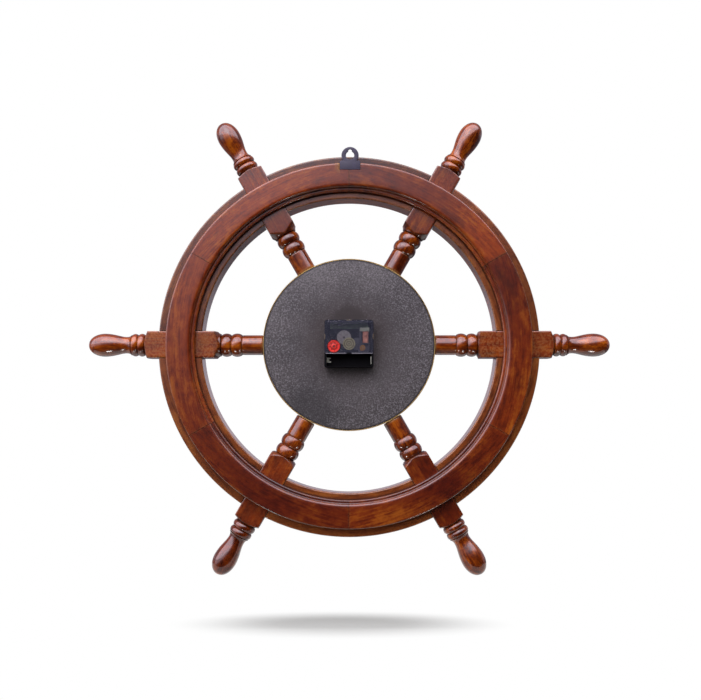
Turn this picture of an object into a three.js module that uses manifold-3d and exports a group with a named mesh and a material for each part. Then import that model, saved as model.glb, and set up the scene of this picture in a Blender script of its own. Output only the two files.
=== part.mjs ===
// Ship wheel wall clock: a six-spoke wooden helm with a quartz clock in its hub.
// Millimetres, +Z up. The dial faces -Y, the wall side faces +Y, and every arbor turns about an axis along Y.
// The origin is the centre of the wheel, halfway through the thickness of its rim.

import * as THREE from 'three';
import { mergeVertices } from 'three/addons/utils/BufferGeometryUtils.js';
import Module from 'manifold-3d';

const wasm = await Module();
wasm.setup();

// General fits
const GLUE_LINE = 0.3; // between wooden pieces that are glued or pressed together
const RUNNING_FIT = 0.3; // between an arbor and what it turns in
const CLAMPED_FIT = 0.1; // between flat pieces that a nut presses together
const PAST = 1; // how far a cutting body runs past the face that it opens
const INTO = 0.5; // how far a joined body reaches into its neighbour
const DEGREE = Math.PI / 180;

// Flats round a turned body
const PIN_FACETS = 8;
const BORE_FACETS = 12;
const ROUND_FACETS = 16;
const KNOB_FACETS = 20;
const EYE_FACETS = 24;
const HUB_FACETS = 40;

// Wheel
const SPOKE_COUNT = 6;
const SPOKE_REACH = 71; // from the hub to the inner face of the felloes
const FELLOE_WIDTH = 49.5;
const FELLOE_THICKNESS = 28;
const RING_INNER_SETBACK = 10; // ledge left inside each ring
const RING_OUTER_SETBACK = 10.5; // ledge left outside each ring
const RING_THICKNESS = 13.2;
const RING_BEAD_WIDTH = 3.4;
const RING_BEAD_DROP = 1.1;
const RING_EDGE_EASE = 1.6;
const RIM_ARC_STEPS = 8; // flats along each sixth of the rim

// Spokes, each turned from a square blank
const BLOCK_WIDTH = 31;
const BLOCK_INNER_OVERHANG = 21;
const BLOCK_OUTER_OVERHANG = 17;
const BLOCK_INNER_SHOULDER = 1.6;
const BLOCK_OUTER_SHOULDER = 5;
const SPINDLE_RADIUS = 11.7;
const SPINDLE_CHAMFER = 1.2;
const TENON_RADIUS = 8;
const TENON_LENGTH = 20;
const INNER_BEAD_LENGTHS = [13, 12.5];
const INNER_BEAD_RADIUS = 13.7;
const OUTER_BEAD_LENGTHS = [9, 7.6];
const OUTER_BEAD_RADIUS = 13;
const NECK_RADIUS = 9.7;
const NECK_LENGTH = 6;
const HANDLE_SWELL_LENGTH = 25;
const HANDLE_SWELL_RADIUS = 13.5;
const HANDLE_NOSE_LENGTH = 19.6;
const NECK_EASE = 0.35; // share of the swell over which it stays nearly as slim as the neck
const CROWN_EASE = 0.45; // share of the swell over which it stays nearly at its full radius
const NOSE_ANGLES = [30, 55, 76].map((degrees) => degrees * DEGREE); // along the nose's quarter ellipse

// Hub
const SOCKET_SLACK = 0.5; // round each tenon
const SOCKET_SKIN = 2.7; // wood left over each socket
const BAND_WALL = 1;
const HUB_CLEARANCE = 0.4; // between the wooden core and the brass band
const BACK_PLATE_THICKNESS = 1;
const DIAL_RADIUS = 90;
const DIAL_THICKNESS = 0.8;
const GLASS_THICKNESS = 2;
const SPACER_WALL = 2.5;
const SPACER_DEPTH = 9;
const BEZEL_WALL = 9.7;
const BEZEL_LIP_WIDTH = 4.6;
const BEZEL_LIP_DEPTH = 2.2;

// Hanger plate on the back of the rim
const HANGER_OFFSET = -1.2;
const HANGER_THICKNESS = 1.2;
const HANGER_FOOT_WIDTH = 23.8;
const HANGER_FOOT_DEPTH = 8.2; // how far the foot lies on the ring
const HANGER_FOOT_RISE = 2.4; // how far the foot rises past the ring's outer edge
const HANGER_FOOT_CLIP = 1.6;
const HANGER_EYE_RADIUS = 10;
const HANGER_EYE_RISE = 8.4; // eye centre above the ring's outer edge
const KEYHOLE_RADIUS = 4.85;
const KEYHOLE_SLOT_WIDTH = 4.3;
const KEYHOLE_SLOT_RISE = 7.2;
const MORTISE_SLACK = 1; // bare wood left at one side of the foot

// Movement housing. Depths run from the housing's dial side towards the wall.
const HOUSING_WIDTH = 56;
const HOUSING_HEIGHT = 54.4;
const HOUSING_DEPTH = 14.4;
const HOUSING_CORNER = 3;
const HOUSING_WALL = 1.2;
const HOUSING_FLOOR = 1.2;
const HOUSING_SEAT = 0.2; // between the housing and the back plate
const BAY_LENGTH = 51.2;
const BAY_HEIGHT = 14.1;
const BAY_FOOT = 1; // wall under the battery bay
const CELL_SEAT_RISE = 0.3; // pad on the bay's floor that the cell lies on
const CELL_SEAT_MARGIN = 0.4;
const COVER_THICKNESS = 1.3;
const COVER_LIP_DEPTH = 1.4;
const COVER_LIP_WALL = 0.8;
const LATCH_WIDTH = 6;
const LATCH_HEIGHT = 8; // height of the side latches above the shaft
const LATCH_THICKNESS = 0.7;
const LATCH_LENGTH = 4;
const CLIP_NOTCH_RADIUS = 2.6;

// Shaft stack through the hub
const BUSHING_RADIUS = 4;
const BUSHING_BORE_RADIUS = 2.85;
const BUSHING_FLANGE_RADIUS = 5.4;
const BUSHING_FLANGE_THICKNESS = 0.5;
const SHAFT_HOLE_RADIUS = 4.4;
const WASHER_RADIUS = 7;
const WASHER_THICKNESS = 0.5;
const NUT_ACROSS_FLATS = 12;
const NUT_THICKNESS = 2.5;
const BUSHING_PROUD = 0.4; // past the nut
const HOUR_TUBE_RADIUS = 2.55;
const HOUR_TUBE_BORE = 1.75;
const MINUTE_TUBE_RADIUS = 1.45;
const MINUTE_TUBE_BORE = 0.8;
const ARBOR_RADIUS = 0.5;
const PIVOT_RADIUS = 0.4;

// Gear train: teeth, centre distances and the direction in which each centre lies
const ROTOR_LEAVES = 8;
const STEP_TEETH = 48;
const STEP_LEAVES = 8;
const SECONDS_TEETH = 40;
const SECONDS_LEAVES = 6;
const THIRD_TEETH = 45;
const THIRD_LEAVES = 6;
const CENTRE_TEETH = 48;
const CANNON_LEAVES = 10;
const INTERMEDIATE_TEETH = 30;
const INTERMEDIATE_LEAVES = 8;
const HOUR_TEETH = 32;
const KNOB_LEAVES = 14;
const THIRD_DISTANCE = 9.4;
const THIRD_DIRECTION = 52 * DEGREE;
const INTERMEDIATE_DISTANCE = 8.4;
const KNOB_DIRECTION = -11 * DEGREE;
const STEP_DISTANCE = 8.64;
const STEP_DIRECTION = 179.7 * DEGREE;
const ROTOR_DISTANCE = 8.4; // from the step wheel's centre
const ROTOR_DIRECTION = 215.3 * DEGREE;
const WHEEL_TOOTH = { addendum: 0.95, dedendum: 1.1, root: 0.3, tip: 0 };
const LEAF_TOOTH = { addendum: 0.75, dedendum: 1.15, root: 0.27, tip: 0.12 };

// Depths along the train
const WHEEL_THICKNESS = 0.6;
const LAYER_GAP = 0.4;
const LEAF_OVERLAP = 0.2; // how far a pinion's leaves run past the wheel in mesh with them, at each end
const PIVOT_LENGTH = 0.7;
const PIVOT_BOSS_RADIUS = 1.4;
const PIVOT_BOSS_DEPTH = 0.9; // how far the cover's bosses reach in
const KNOB_POST_RADIUS = 1.8;
const PLATE_POST_RADIUS = 1.6;

// Setting knob
const KNOB_RADIUS = 7;
const KNOB_THICKNESS = 2.3;
const KNOB_RIM_WIDTH = 1.4;
const KNOB_DISH_DEPTH = 0.6;
const KNOB_CENTRE_RADIUS = 2.4;
const KNOB_STEM_RADIUS = 1.5;
const KNOB_RECESS = 0.2; // below the outside of the cover
const KNOB_HOLE_SLACK = 0.5;

// Step motor, board and contacts
const MAGNET_RADIUS = 2.8;
const ROTOR_CAP_RADIUS = 3.3;
const ROTOR_CAP_DEPTH = 1;
const STATOR_THICKNESS = 0.8;
const STATOR_LOBE_WALL = 2.5; // round the magnet
const STATOR_ARM_WIDTH = 2.7;
const STATOR_CLIP = 1.5; // off the corners of the lobe
const STATOR_POST_RADIUS = 1.1;
const STATOR_POST_INSET = 2;
const COIL_WIDTH = 6.9;
const COIL_DEPTH = 5.2;
const COIL_LENGTH = 13.8;
const COIL_ACROSS = -19; // coil centre from the shaft, along X
const COIL_UP = 7.2; // coil centre from the shaft, along Z
const FLANGE_OVERHANG = 0.85;
const FLANGE_THICKNESS = 1;
const WINDING_CORNER = 1.6;
const SLEEVE_WALL = 0.9;
const SLEEVE_DEPTH = 2.2;
const TERMINAL_REACH = 6.6; // from the coil's middle
const TERMINAL_THICKNESS = 1.4;
const CORE_WIDTH = 2.4;
const BOARD_THICKNESS = 1;
const BOARD_WIDTH = 44;
const BOARD_HEIGHT = 7.7;
const BOARD_GAP = 0.4; // to the top wall
const CRYSTAL_RADIUS = 1;
const CRYSTAL_LENGTH = 6;
const CRYSTAL_ACROSS = 10;
const CONTACT_THICKNESS = 0.3;
const NEGATIVE_LEAF = { width: 6, rise: 10.5, above: 0.8 }; // above: past the middle of the bay's height
const NEGATIVE_TAB = { width: 4.6, length: 4.6 };
const POSITIVE_LEAF = { width: 8.4, rise: 12.4 };
const TRAIN_PLATE_THICKNESS = 0.8;
const PLATE_SIDE_GAP = 0.9; // from the train plate to the side walls
const PLATE_FOOT_GAP = 0.6;
const PLATE_BOARD_GAP = 1.2;
const PLATE_PINION_GAP = 0.6; // round the pinion that passes through the plate
const PLATE_POST_INSET = { across: 2, up: 2.5 };

// Hands. Each tail runs past the shaft, and bossWall is the metal round the seat.
const HOUR_HAND = { length: 46, tail: 12, width: 4, bossWall: 3 };
const MINUTE_HAND = { length: 68, tail: 14, width: 3.2, bossWall: 3 };
const SECOND_HAND = { length: 72, tail: 20, width: 1.2, bossWall: 2.6 };
const HAND_STEP = 1.6; // from one hand to the next along the shaft
const HAND_THICKNESS = 0.5;
const HAND_NECK = 0.62; // share of the length at which the blade starts to widen
const HAND_WIDEST = 0.72;
const HAND_FLARE = 1.3; // half of the widest place, in blade widths
const HOUR_AT_REST = 10.15;
const MINUTE_AT_REST = 9;
const SECOND_AT_REST = 35;

// Finishes
const finish = (color, roughness, more = {}) => new THREE.MeshStandardMaterial({ color, roughness, ...more });
const LACQUERED_WOOD = finish(0x6b2c12, 0.28);
const TURNED_WOOD = finish(0x7a3413, 0.22);
const CORE_WOOD = finish(0x8a6238, 0.7);
const BRASS = finish(0xb08d4a, 0.3, { metalness: 1 });
const STEEL = finish(0xb9b9bc, 0.35, { metalness: 1 });
const PAINTED_STEEL = finish(0x3b3a47, 0.45);
const BACK_BOARD = finish(0x575257, 0.75);
const DIAL_PAPER = finish(0xf1ead6, 0.7);
const GLASS = finish(0xdfe9ea, 0.05, { opacity: 0.25, transparent: true });
const BLACK_PLASTIC = finish(0x0d0d11, 0.4);
const SMOKED_PLASTIC = finish(0x30303a, 0.2, { opacity: 0.5, transparent: true });
const WHITE_PLASTIC = finish(0xd8d4cc, 0.5);
const CREAM_PLASTIC = finish(0xb5a878, 0.5);
const RED_PLASTIC = finish(0xd7281f, 0.35);
const COPPER = finish(0xb06a4c, 0.4, { metalness: 1 });
const MAGNET = finish(0x7d6238, 0.5);
const BOARD_GREEN = finish(0x2f5a3c, 0.6);

// Sizes that follow from the driving ones
const hubRadius = DIAL_RADIUS + GLUE_LINE + BEZEL_WALL;
const felloeInner = hubRadius + SPOKE_REACH;
const felloeOuter = felloeInner + FELLOE_WIDTH;
const felloeFace = FELLOE_THICKNESS / 2;
const ringInner = felloeInner + RING_INNER_SETBACK;
const ringOuter = felloeOuter - RING_OUTER_SETBACK;
const ringSeat = felloeFace + GLUE_LINE;
const rimBack = ringSeat + RING_THICKNESS;
const spokePitch = (2 * Math.PI) / SPOKE_COUNT;

const socketRadius = TENON_RADIUS + SOCKET_SLACK;
const coreFace = socketRadius + SOCKET_SKIN;
const coreRadius = hubRadius - BAND_WALL - HUB_CLEARANCE;
const backPlateSeat = coreFace + GLUE_LINE;
const backPlateFace = backPlateSeat + BACK_PLATE_THICKNESS;
const dialSeat = -coreFace - GLUE_LINE;
const dialFace = dialSeat - DIAL_THICKNESS;
const spacerBack = dialFace - GLUE_LINE;
const spacerFront = spacerBack - SPACER_DEPTH;
const glassBack = spacerFront - GLUE_LINE;
const glassFront = glassBack - GLASS_THICKNESS;
const bezelLipBack = glassFront - GLUE_LINE;
const bezelFront = bezelLipBack - BEZEL_LIP_DEPTH;

const housingFront = backPlateFace + HOUSING_SEAT;
const housingTop = HOUSING_HEIGHT / 2;
const housingSide = HOUSING_WIDTH / 2;
const bayBottom = -housingTop + BAY_FOOT;
const bayTop = bayBottom + BAY_HEIGHT;
const trainBottom = bayTop + HOUSING_WALL;
const coverSeat = HOUSING_DEPTH - COVER_THICKNESS;
const coverBottom = bayTop + GLUE_LINE / 2;
const boardTop = housingTop - HOUSING_WALL - BOARD_GAP;
const boardBottom = boardTop - BOARD_HEIGHT;
const pivotBore = PIVOT_RADIUS + RUNNING_FIT;
const twoPivots = { frontPivot: PIVOT_LENGTH, backPivot: PIVOT_LENGTH };

// Depths of the train's layers, from the floor towards the cover
const hourLayer = HOUSING_FLOOR + LAYER_GAP + GLUE_LINE;
const intermediateLayer = hourLayer + WHEEL_THICKNESS + LAYER_GAP;
const centreLayer = intermediateLayer + WHEEL_THICKNESS + 2 * LAYER_GAP;
const trainPlateLayer = centreLayer + WHEEL_THICKNESS + LAYER_GAP;
const stepLayer = trainPlateLayer + TRAIN_PLATE_THICKNESS + LAYER_GAP;
const thirdLayer = stepLayer + WHEEL_THICKNESS + LAYER_GAP;
const secondsLayer = thirdLayer + WHEEL_THICKNESS + 3 * LAYER_GAP;

// Planes of the stack on the shaft, from the dial towards the glass
const washerBack = dialFace - CLAMPED_FIT;
const nutBack = washerBack - WASHER_THICKNESS - CLAMPED_FIT;
const bushingEnd = nutBack - NUT_THICKNESS - BUSHING_PROUD;
const hourHandPlane = bushingEnd - 2 * RUNNING_FIT;
const minuteHandPlane = hourHandPlane - HAND_STEP;
const secondHandPlane = minuteHandPlane - HAND_STEP;

// A three.js geometry as a solid for cutting and joining.
function solidOf(geometry) {
  const bare = geometry.index ? geometry.toNonIndexed() : geometry.clone();
  bare.deleteAttribute('normal');
  bare.deleteAttribute('uv');
  const welded = mergeVertices(bare, 1e-3);
  const corners = welded.index.array;
  const kept = [];
  for (let i = 0; i < corners.length; i += 3) {
    const [a, b, c] = [corners[i], corners[i + 1], corners[i + 2]];
    if (a !== b && b !== c && c !== a) {
      kept.push(a, b, c);
    }
  }
  return new wasm.Manifold(
    new wasm.Mesh({
      numProp: 3,
      vertProperties: new Float32Array(welded.attributes.position.array),
      triVerts: new Uint32Array(kept),
    }),
  );
}

function geometryOf(solid) {
  const mesh = solid.getMesh();
  const places = new Float32Array(mesh.numVert * 3);
  for (let i = 0; i < mesh.numVert; i++) {
    const start = i * mesh.numProp;
    places.set(mesh.vertProperties.subarray(start, start + 3), i * 3);
  }
  const geometry = new THREE.BufferGeometry();
  geometry.setAttribute('position', new THREE.BufferAttribute(places, 3));
  geometry.setIndex(new THREE.BufferAttribute(new Uint32Array(mesh.triVerts), 1));
  geometry.computeVertexNormals();
  return geometry;
}

function joined(...geometries) {
  return geometryOf(geometries.map(solidOf).reduce((whole, next) => whole.add(next)));
}

function cut(geometry, ...cutters) {
  return geometryOf(cutters.map(solidOf).reduce((whole, next) => whole.subtract(next), solidOf(geometry)));
}

// A body turned about the Y axis from a closed outline of [radius, y] points.
function turned(outline, facets) {
  const touchesAxis = outline[0][0] === 0;
  const ring = touchesAxis ? outline : [...outline, outline[0]];
  const doubledArea = ring.reduce((sum, [r, y], i) => {
    const [nextR, nextY] = ring[(i + 1) % ring.length];
    return sum + r * nextY - nextR * y;
  }, 0);
  const ordered = doubledArea > 0 ? ring : [...ring].reverse();
  return new THREE.LatheGeometry(ordered.map(([r, y]) => new THREE.Vector2(r, y)), facets);
}

function disc(radius, from, to, facets) {
  return turned([[0, from], [radius, from], [radius, to], [0, to]], facets);
}

function tube(outer, inner, from, to, facets) {
  return turned([[inner, from], [outer, from], [outer, to], [inner, to]], facets);
}

// A flat outline in X and Z, given thickness along Y.
function slab(shape, from, to, curveSegments = 6) {
  const settings = { depth: to - from, bevelEnabled: false, curveSegments };
  const geometry = new THREE.ExtrudeGeometry(shape, settings);
  return geometry.rotateX(Math.PI / 2).translate(0, to, 0);
}

function outlineOf(points) {
  return new THREE.Shape(points.map(([x, z]) => new THREE.Vector2(x, z)));
}

function box(left, right, from, to, bottom, top) {
  const geometry = new THREE.BoxGeometry(right - left, to - from, top - bottom);
  return geometry.translate((left + right) / 2, (from + to) / 2, (bottom + top) / 2);
}

function roundedRectangle(left, right, bottom, top, corner) {
  const shape = new THREE.Shape();
  shape.moveTo(left + corner, bottom);
  shape.lineTo(right - corner, bottom);
  shape.absarc(right - corner, bottom + corner, corner, -Math.PI / 2, 0);
  shape.absarc(right - corner, top - corner, corner, 0, Math.PI / 2);
  shape.absarc(left + corner, top - corner, corner, Math.PI / 2, Math.PI);
  shape.absarc(left + corner, bottom + corner, corner, Math.PI, 1.5 * Math.PI);
  return shape;
}

function arcPoints(radius, start, end, steps) {
  return Array.from({ length: steps + 1 }, (_, i) => {
    const angle = start + ((end - start) * i) / steps;
    return [radius * Math.cos(angle), radius * Math.sin(angle)];
  });
}

function named(name, geometry, material) {
  const mesh = new THREE.Mesh(geometry, material);
  mesh.name = name;
  return mesh;
}

// Turns a group about the wheel's axis, with angles counted from +X towards +Z.
function turnedGroup(angle) {
  const group = new THREE.Group();
  group.rotation.y = -angle;
  return group;
}

// Spokes

// Points along one bead, from its first groove up over the crown and down to the next.
function bead(start, length, grooveRadius, crownRadius, steps) {
  return Array.from({ length: steps }, (_, i) => {
    const along = (i + 1) / steps;
    const swell = Math.sin(Math.PI * along);
    return [start + length * along, grooveRadius + (crownRadius - grooveRadius) * swell];
  });
}

function beadRow(start, lengths, grooveRadius, crownRadius, steps) {
  let along = start;
  return lengths.flatMap((length) => {
    const points = bead(along, length, grooveRadius, crownRadius, steps);
    along += length;
    return points;
  });
}

// The turned outline of a spoke as [distance from the wheel's centre, radius].
// Over the block it runs wider than the blank's corners, so the blank stays square there.
function spokeOutline() {
  const shoulder = hubRadius + GLUE_LINE;
  const blockStart = felloeInner - BLOCK_INNER_OVERHANG;
  const blockEnd = felloeOuter + BLOCK_OUTER_OVERHANG;
  const innerBeads = INNER_BEAD_LENGTHS.reduce((sum, length) => sum + length);
  const outerBeads = OUTER_BEAD_LENGTHS.reduce((sum, length) => sum + length);
  const blankReach = Math.hypot(BLOCK_WIDTH, FELLOE_THICKNESS) / 2;
  const neck = blockEnd + outerBeads;
  const swellStart = neck + NECK_LENGTH;
  const nose = swellStart + HANDLE_SWELL_LENGTH;
  const swell = new THREE.CubicBezierCurve(
    new THREE.Vector2(swellStart, NECK_RADIUS),
    new THREE.Vector2(swellStart + HANDLE_SWELL_LENGTH * NECK_EASE, NECK_RADIUS),
    new THREE.Vector2(nose - HANDLE_SWELL_LENGTH * CROWN_EASE, HANDLE_SWELL_RADIUS),
    new THREE.Vector2(nose, HANDLE_SWELL_RADIUS),
  );
  return [
    [shoulder - TENON_LENGTH, TENON_RADIUS],
    [shoulder, TENON_RADIUS],
    [shoulder, SPINDLE_RADIUS - SPINDLE_CHAMFER / 2],
    [shoulder + SPINDLE_CHAMFER, SPINDLE_RADIUS],
    [blockStart - innerBeads, SPINDLE_RADIUS],
    ...beadRow(blockStart - innerBeads, INNER_BEAD_LENGTHS, SPINDLE_RADIUS, INNER_BEAD_RADIUS, 3),
    [blockStart, INNER_BEAD_RADIUS],
    [blockStart + BLOCK_INNER_SHOULDER, blankReach],
    [blockEnd - BLOCK_OUTER_SHOULDER, blankReach],
    [blockEnd, SPINDLE_RADIUS],
    ...beadRow(blockEnd, OUTER_BEAD_LENGTHS, SPINDLE_RADIUS, OUTER_BEAD_RADIUS, 2),
    ...swell.getPoints(3).map((point) => [point.x, point.y]),
    ...NOSE_ANGLES.map((angle) => [
      nose + HANDLE_NOSE_LENGTH * Math.sin(angle),
      HANDLE_SWELL_RADIUS * Math.cos(angle),
    ]),
    [nose + HANDLE_NOSE_LENGTH, 0],
  ];
}

// Skins the outline, each section clipped by the square blank that the spoke is turned from.
function spokeGeometry() {
  const halfWidth = BLOCK_WIDTH / 2;
  const halfDepth = FELLOE_THICKNESS / 2;
  const corner = Math.atan2(halfDepth, halfWidth);
  const wide = (Math.PI - 2 * corner) / 3;
  const tall = (2 * corner) / 3;
  const faceAngles = [corner, corner + wide, corner + 2 * wide];
  const sideAngles = [Math.PI - corner, Math.PI - corner + tall, Math.PI - corner + 2 * tall];
  const halfTurn = [...faceAngles, ...sideAngles];
  const angles = [...halfTurn, ...halfTurn.map((angle) => angle + Math.PI)];
  const blank = (angle) =>
    Math.min(halfWidth / Math.abs(Math.cos(angle)), halfDepth / Math.abs(Math.sin(angle)));
  const outline = spokeOutline();
  const sections = outline.slice(0, -1);
  const places = [];
  for (const [along, radius] of sections) {
    for (const angle of angles) {
      const reach = Math.min(radius, blank(angle));
      places.push(along, reach * Math.sin(angle), reach * Math.cos(angle));
    }
  }
  const count = angles.length;
  const faces = [];
  for (let s = 0; s + 1 < sections.length; s++) {
    for (let i = 0; i < count; i++) {
      const a = s * count + i;
      const b = s * count + ((i + 1) % count);
      faces.push(a, a + count, b, b, a + count, b + count);
    }
  }
  const endCap = places.length / 3;
  places.push(sections[0][0], 0, 0);
  const tip = endCap + 1;
  places.push(outline.at(-1)[0], 0, 0);
  const last = (sections.length - 1) * count;
  for (let i = 0; i < count; i++) {
    const next = (i + 1) % count;
    faces.push(endCap, i, next);
    faces.push(tip, last + next, last + i);
  }
  const geometry = new THREE.BufferGeometry();
  geometry.setAttribute('position', new THREE.Float32BufferAttribute(places, 3));
  geometry.setIndex(faces);
  geometry.computeVertexNormals();
  return geometry;
}

// Rim

// One felloe, filling the rim between two spoke blocks, centred on local +X.
function felloeGeometry() {
  const blockSide = BLOCK_WIDTH / 2 + GLUE_LINE;
  const half = (radius) => spokePitch / 2 - Math.asin(blockSide / radius);
  const outer = arcPoints(felloeOuter, -half(felloeOuter), half(felloeOuter), RIM_ARC_STEPS);
  const inner = arcPoints(felloeInner, half(felloeInner), -half(felloeInner), RIM_ARC_STEPS);
  return slab(outlineOf([...outer, ...inner]), -felloeFace, felloeFace);
}

// Section of a face ring as [radius, y], with an eased outer edge and a low bead along the inner edge.
function ringSection() {
  return [
    [ringInner, ringSeat],
    [ringOuter, ringSeat],
    [ringOuter, rimBack - RING_EDGE_EASE],
    [ringOuter - RING_EDGE_EASE, rimBack],
    [ringInner + RING_BEAD_WIDTH, rimBack],
    [ringInner + RING_BEAD_WIDTH, rimBack - RING_BEAD_DROP],
    [ringInner, rimBack - RING_BEAD_DROP],
  ];
}

// One sixth of a face ring, centred over a spoke, with butt joints midway to the next spokes.
function ringSegmentGeometry(side) {
  const section = ringSection();
  const half = spokePitch / 2 - Math.asin(GLUE_LINE / 2 / ringInner);
  const places = [];
  const count = section.length;
  for (let i = 0; i <= RIM_ARC_STEPS; i++) {
    const angle = -half + (2 * half * i) / RIM_ARC_STEPS;
    for (const [radius, y] of section) {
      places.push(radius * Math.cos(angle), side * y, radius * Math.sin(angle));
    }
  }
  const faces = [];
  const addFace = (a, b, c) => (side > 0 ? faces.push(a, c, b) : faces.push(a, b, c));
  for (let i = 0; i < RIM_ARC_STEPS; i++) {
    for (let j = 0; j < count; j++) {
      const a = i * count + j;
      const b = i * count + ((j + 1) % count);
      addFace(a, a + count, b);
      addFace(b, a + count, b + count);
    }
  }
  const flat = section.map(([radius, y]) => new THREE.Vector2(radius, y));
  const last = RIM_ARC_STEPS * count;
  for (const [a, b, c] of THREE.ShapeUtils.triangulateShape(flat, [])) {
    addFace(a, b, c);
    addFace(last + a, last + c, last + b);
  }
  const geometry = new THREE.BufferGeometry();
  geometry.setAttribute('position', new THREE.Float32BufferAttribute(places, 3));
  geometry.setIndex(faces);
  geometry.computeVertexNormals();
  return geometry;
}

// The shallow recess that lets the hanger's foot into the back of the rim.
function hangerMortise() {
  const half = HANGER_FOOT_WIDTH / 2;
  const floor = rimBack - HANGER_THICKNESS - GLUE_LINE;
  const bottom = ringOuter - HANGER_FOOT_DEPTH - GLUE_LINE;
  const left = HANGER_OFFSET - half - GLUE_LINE;
  const right = HANGER_OFFSET + half + MORTISE_SLACK;
  return box(left, right, floor, rimBack + PAST, bottom, felloeOuter);
}

function rimParts() {
  const rim = new THREE.Group();
  const spoke = spokeGeometry();
  const felloe = felloeGeometry();
  const backRing = ringSegmentGeometry(1);
  const frontRing = ringSegmentGeometry(-1);
  for (let i = 0; i < SPOKE_COUNT; i++) {
    const onSpoke = turnedGroup(i * spokePitch);
    onSpoke.updateMatrix();
    const mortise = hangerMortise().applyMatrix4(onSpoke.matrix.clone().invert());
    onSpoke.add(named(`spoke_${i + 1}`, spoke, TURNED_WOOD));
    onSpoke.add(named(`back_ring_${i + 1}`, cut(backRing, mortise), LACQUERED_WOOD));
    onSpoke.add(named(`front_ring_${i + 1}`, frontRing, LACQUERED_WOOD));
    const betweenSpokes = turnedGroup((i + 0.5) * spokePitch);
    betweenSpokes.add(named(`felloe_${i + 1}`, felloe, LACQUERED_WOOD));
    rim.add(onSpoke, betweenSpokes);
  }
  return rim;
}

function hangerPlate() {
  const half = HANGER_FOOT_WIDTH / 2;
  const front = rimBack - HANGER_THICKNESS;
  const bottom = ringOuter - HANGER_FOOT_DEPTH;
  const top = ringOuter + HANGER_FOOT_RISE;
  const eye = ringOuter + HANGER_EYE_RISE;
  const foot = outlineOf([
    [-half, bottom],
    [half, bottom],
    [half, top - HANGER_FOOT_CLIP],
    [half - HANGER_FOOT_CLIP, top],
    [HANGER_FOOT_CLIP - half, top],
    [-half, top - HANGER_FOOT_CLIP],
  ]);
  const slot = KEYHOLE_SLOT_WIDTH / 2;
  const plate = joined(
    slab(foot, front, rimBack),
    disc(HANGER_EYE_RADIUS, front, rimBack, EYE_FACETS).translate(0, 0, eye),
  );
  const slotEnd = eye + KEYHOLE_SLOT_RISE - slot;
  const pierced = cut(
    plate,
    disc(KEYHOLE_RADIUS, front - PAST, rimBack + PAST, ROUND_FACETS).translate(0, 0, eye),
    box(-slot, slot, front - PAST, rimBack + PAST, eye, slotEnd),
    disc(slot, front - PAST, rimBack + PAST, BORE_FACETS).translate(0, 0, slotEnd),
  );
  return named('hanger_plate', pierced.translate(HANGER_OFFSET, 0, 0), PAINTED_STEEL);
}

// Hub

// A bore for each spoke, whose flats lie at the bore's radius.
function spokeBores(radius, from, to, facets) {
  return Array.from({ length: SPOKE_COUNT }, (_, i) => {
    const bore = disc(radius / Math.cos(Math.PI / facets), from, to, facets).rotateZ(-Math.PI / 2);
    return bore.rotateY(-i * spokePitch);
  });
}

function hubCore() {
  const floor = hubRadius + GLUE_LINE - TENON_LENGTH - SOCKET_SLACK;
  return named(
    'hub_core',
    cut(
      tube(coreRadius, SHAFT_HOLE_RADIUS, -coreFace, coreFace, HUB_FACETS),
      ...spokeBores(socketRadius, floor, hubRadius + PAST, PIN_FACETS),
    ),
    CORE_WOOD,
  );
}

function hubBand() {
  const ring = tube(hubRadius, hubRadius - BAND_WALL, -coreFace, backPlateFace, HUB_FACETS);
  const bores = spokeBores(socketRadius, hubRadius / 2, hubRadius + PAST, PIN_FACETS);
  return named('hub_band', cut(ring, ...bores), BRASS);
}

function hubBackPlate() {
  const plate = tube(coreRadius, SHAFT_HOLE_RADIUS, backPlateSeat, backPlateFace, HUB_FACETS);
  return named('hub_back_plate', plate, BACK_BOARD);
}

function dialPlate() {
  const plate = tube(DIAL_RADIUS, SHAFT_HOLE_RADIUS, dialFace, dialSeat, HUB_FACETS);
  return named('dial_plate', plate, DIAL_PAPER);
}

function spacerRing() {
  const ring = tube(DIAL_RADIUS, DIAL_RADIUS - SPACER_WALL, spacerFront, spacerBack, HUB_FACETS);
  return named('spacer_ring', ring, BRASS);
}

function glassLens() {
  return named('glass_lens', disc(DIAL_RADIUS, glassFront, glassBack, HUB_FACETS), GLASS);
}

// The brass bezel: a domed ring whose lip holds the glass against the spacer.
function bezel() {
  const inside = DIAL_RADIUS + GLUE_LINE;
  const lip = DIAL_RADIUS - BEZEL_LIP_WIDTH;
  const back = -coreFace - GLUE_LINE;
  const dome = new THREE.EllipseCurve(inside, bezelLipBack, BEZEL_WALL, BEZEL_LIP_DEPTH, 0, -Math.PI / 2, true);
  const outline = [
    [inside, back],
    [hubRadius, back],
    ...dome.getPoints(3).map((point) => [point.x, point.y]),
    [lip, bezelFront],
    [lip, bezelLipBack],
    [inside, bezelLipBack],
  ];
  return named('bezel', turned(outline, HUB_FACETS), BRASS);
}

// Shaft stack

function shaftBushing() {
  const flangeFront = housingFront + HOUSING_FLOOR + GLUE_LINE / 3;
  const flangeBack = flangeFront + BUSHING_FLANGE_THICKNESS;
  const outline = [
    [BUSHING_BORE_RADIUS, bushingEnd],
    [BUSHING_RADIUS, bushingEnd],
    [BUSHING_RADIUS, flangeFront],
    [BUSHING_FLANGE_RADIUS, flangeFront],
    [BUSHING_FLANGE_RADIUS, flangeBack],
    [BUSHING_BORE_RADIUS, flangeBack],
  ];
  return named('shaft_bushing', turned(outline, ROUND_FACETS), BRASS);
}

function dialWasher() {
  const from = washerBack - WASHER_THICKNESS;
  const ring = tube(WASHER_RADIUS, SHAFT_HOLE_RADIUS, from, washerBack, ROUND_FACETS);
  return named('dial_washer', ring, BRASS);
}

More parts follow.
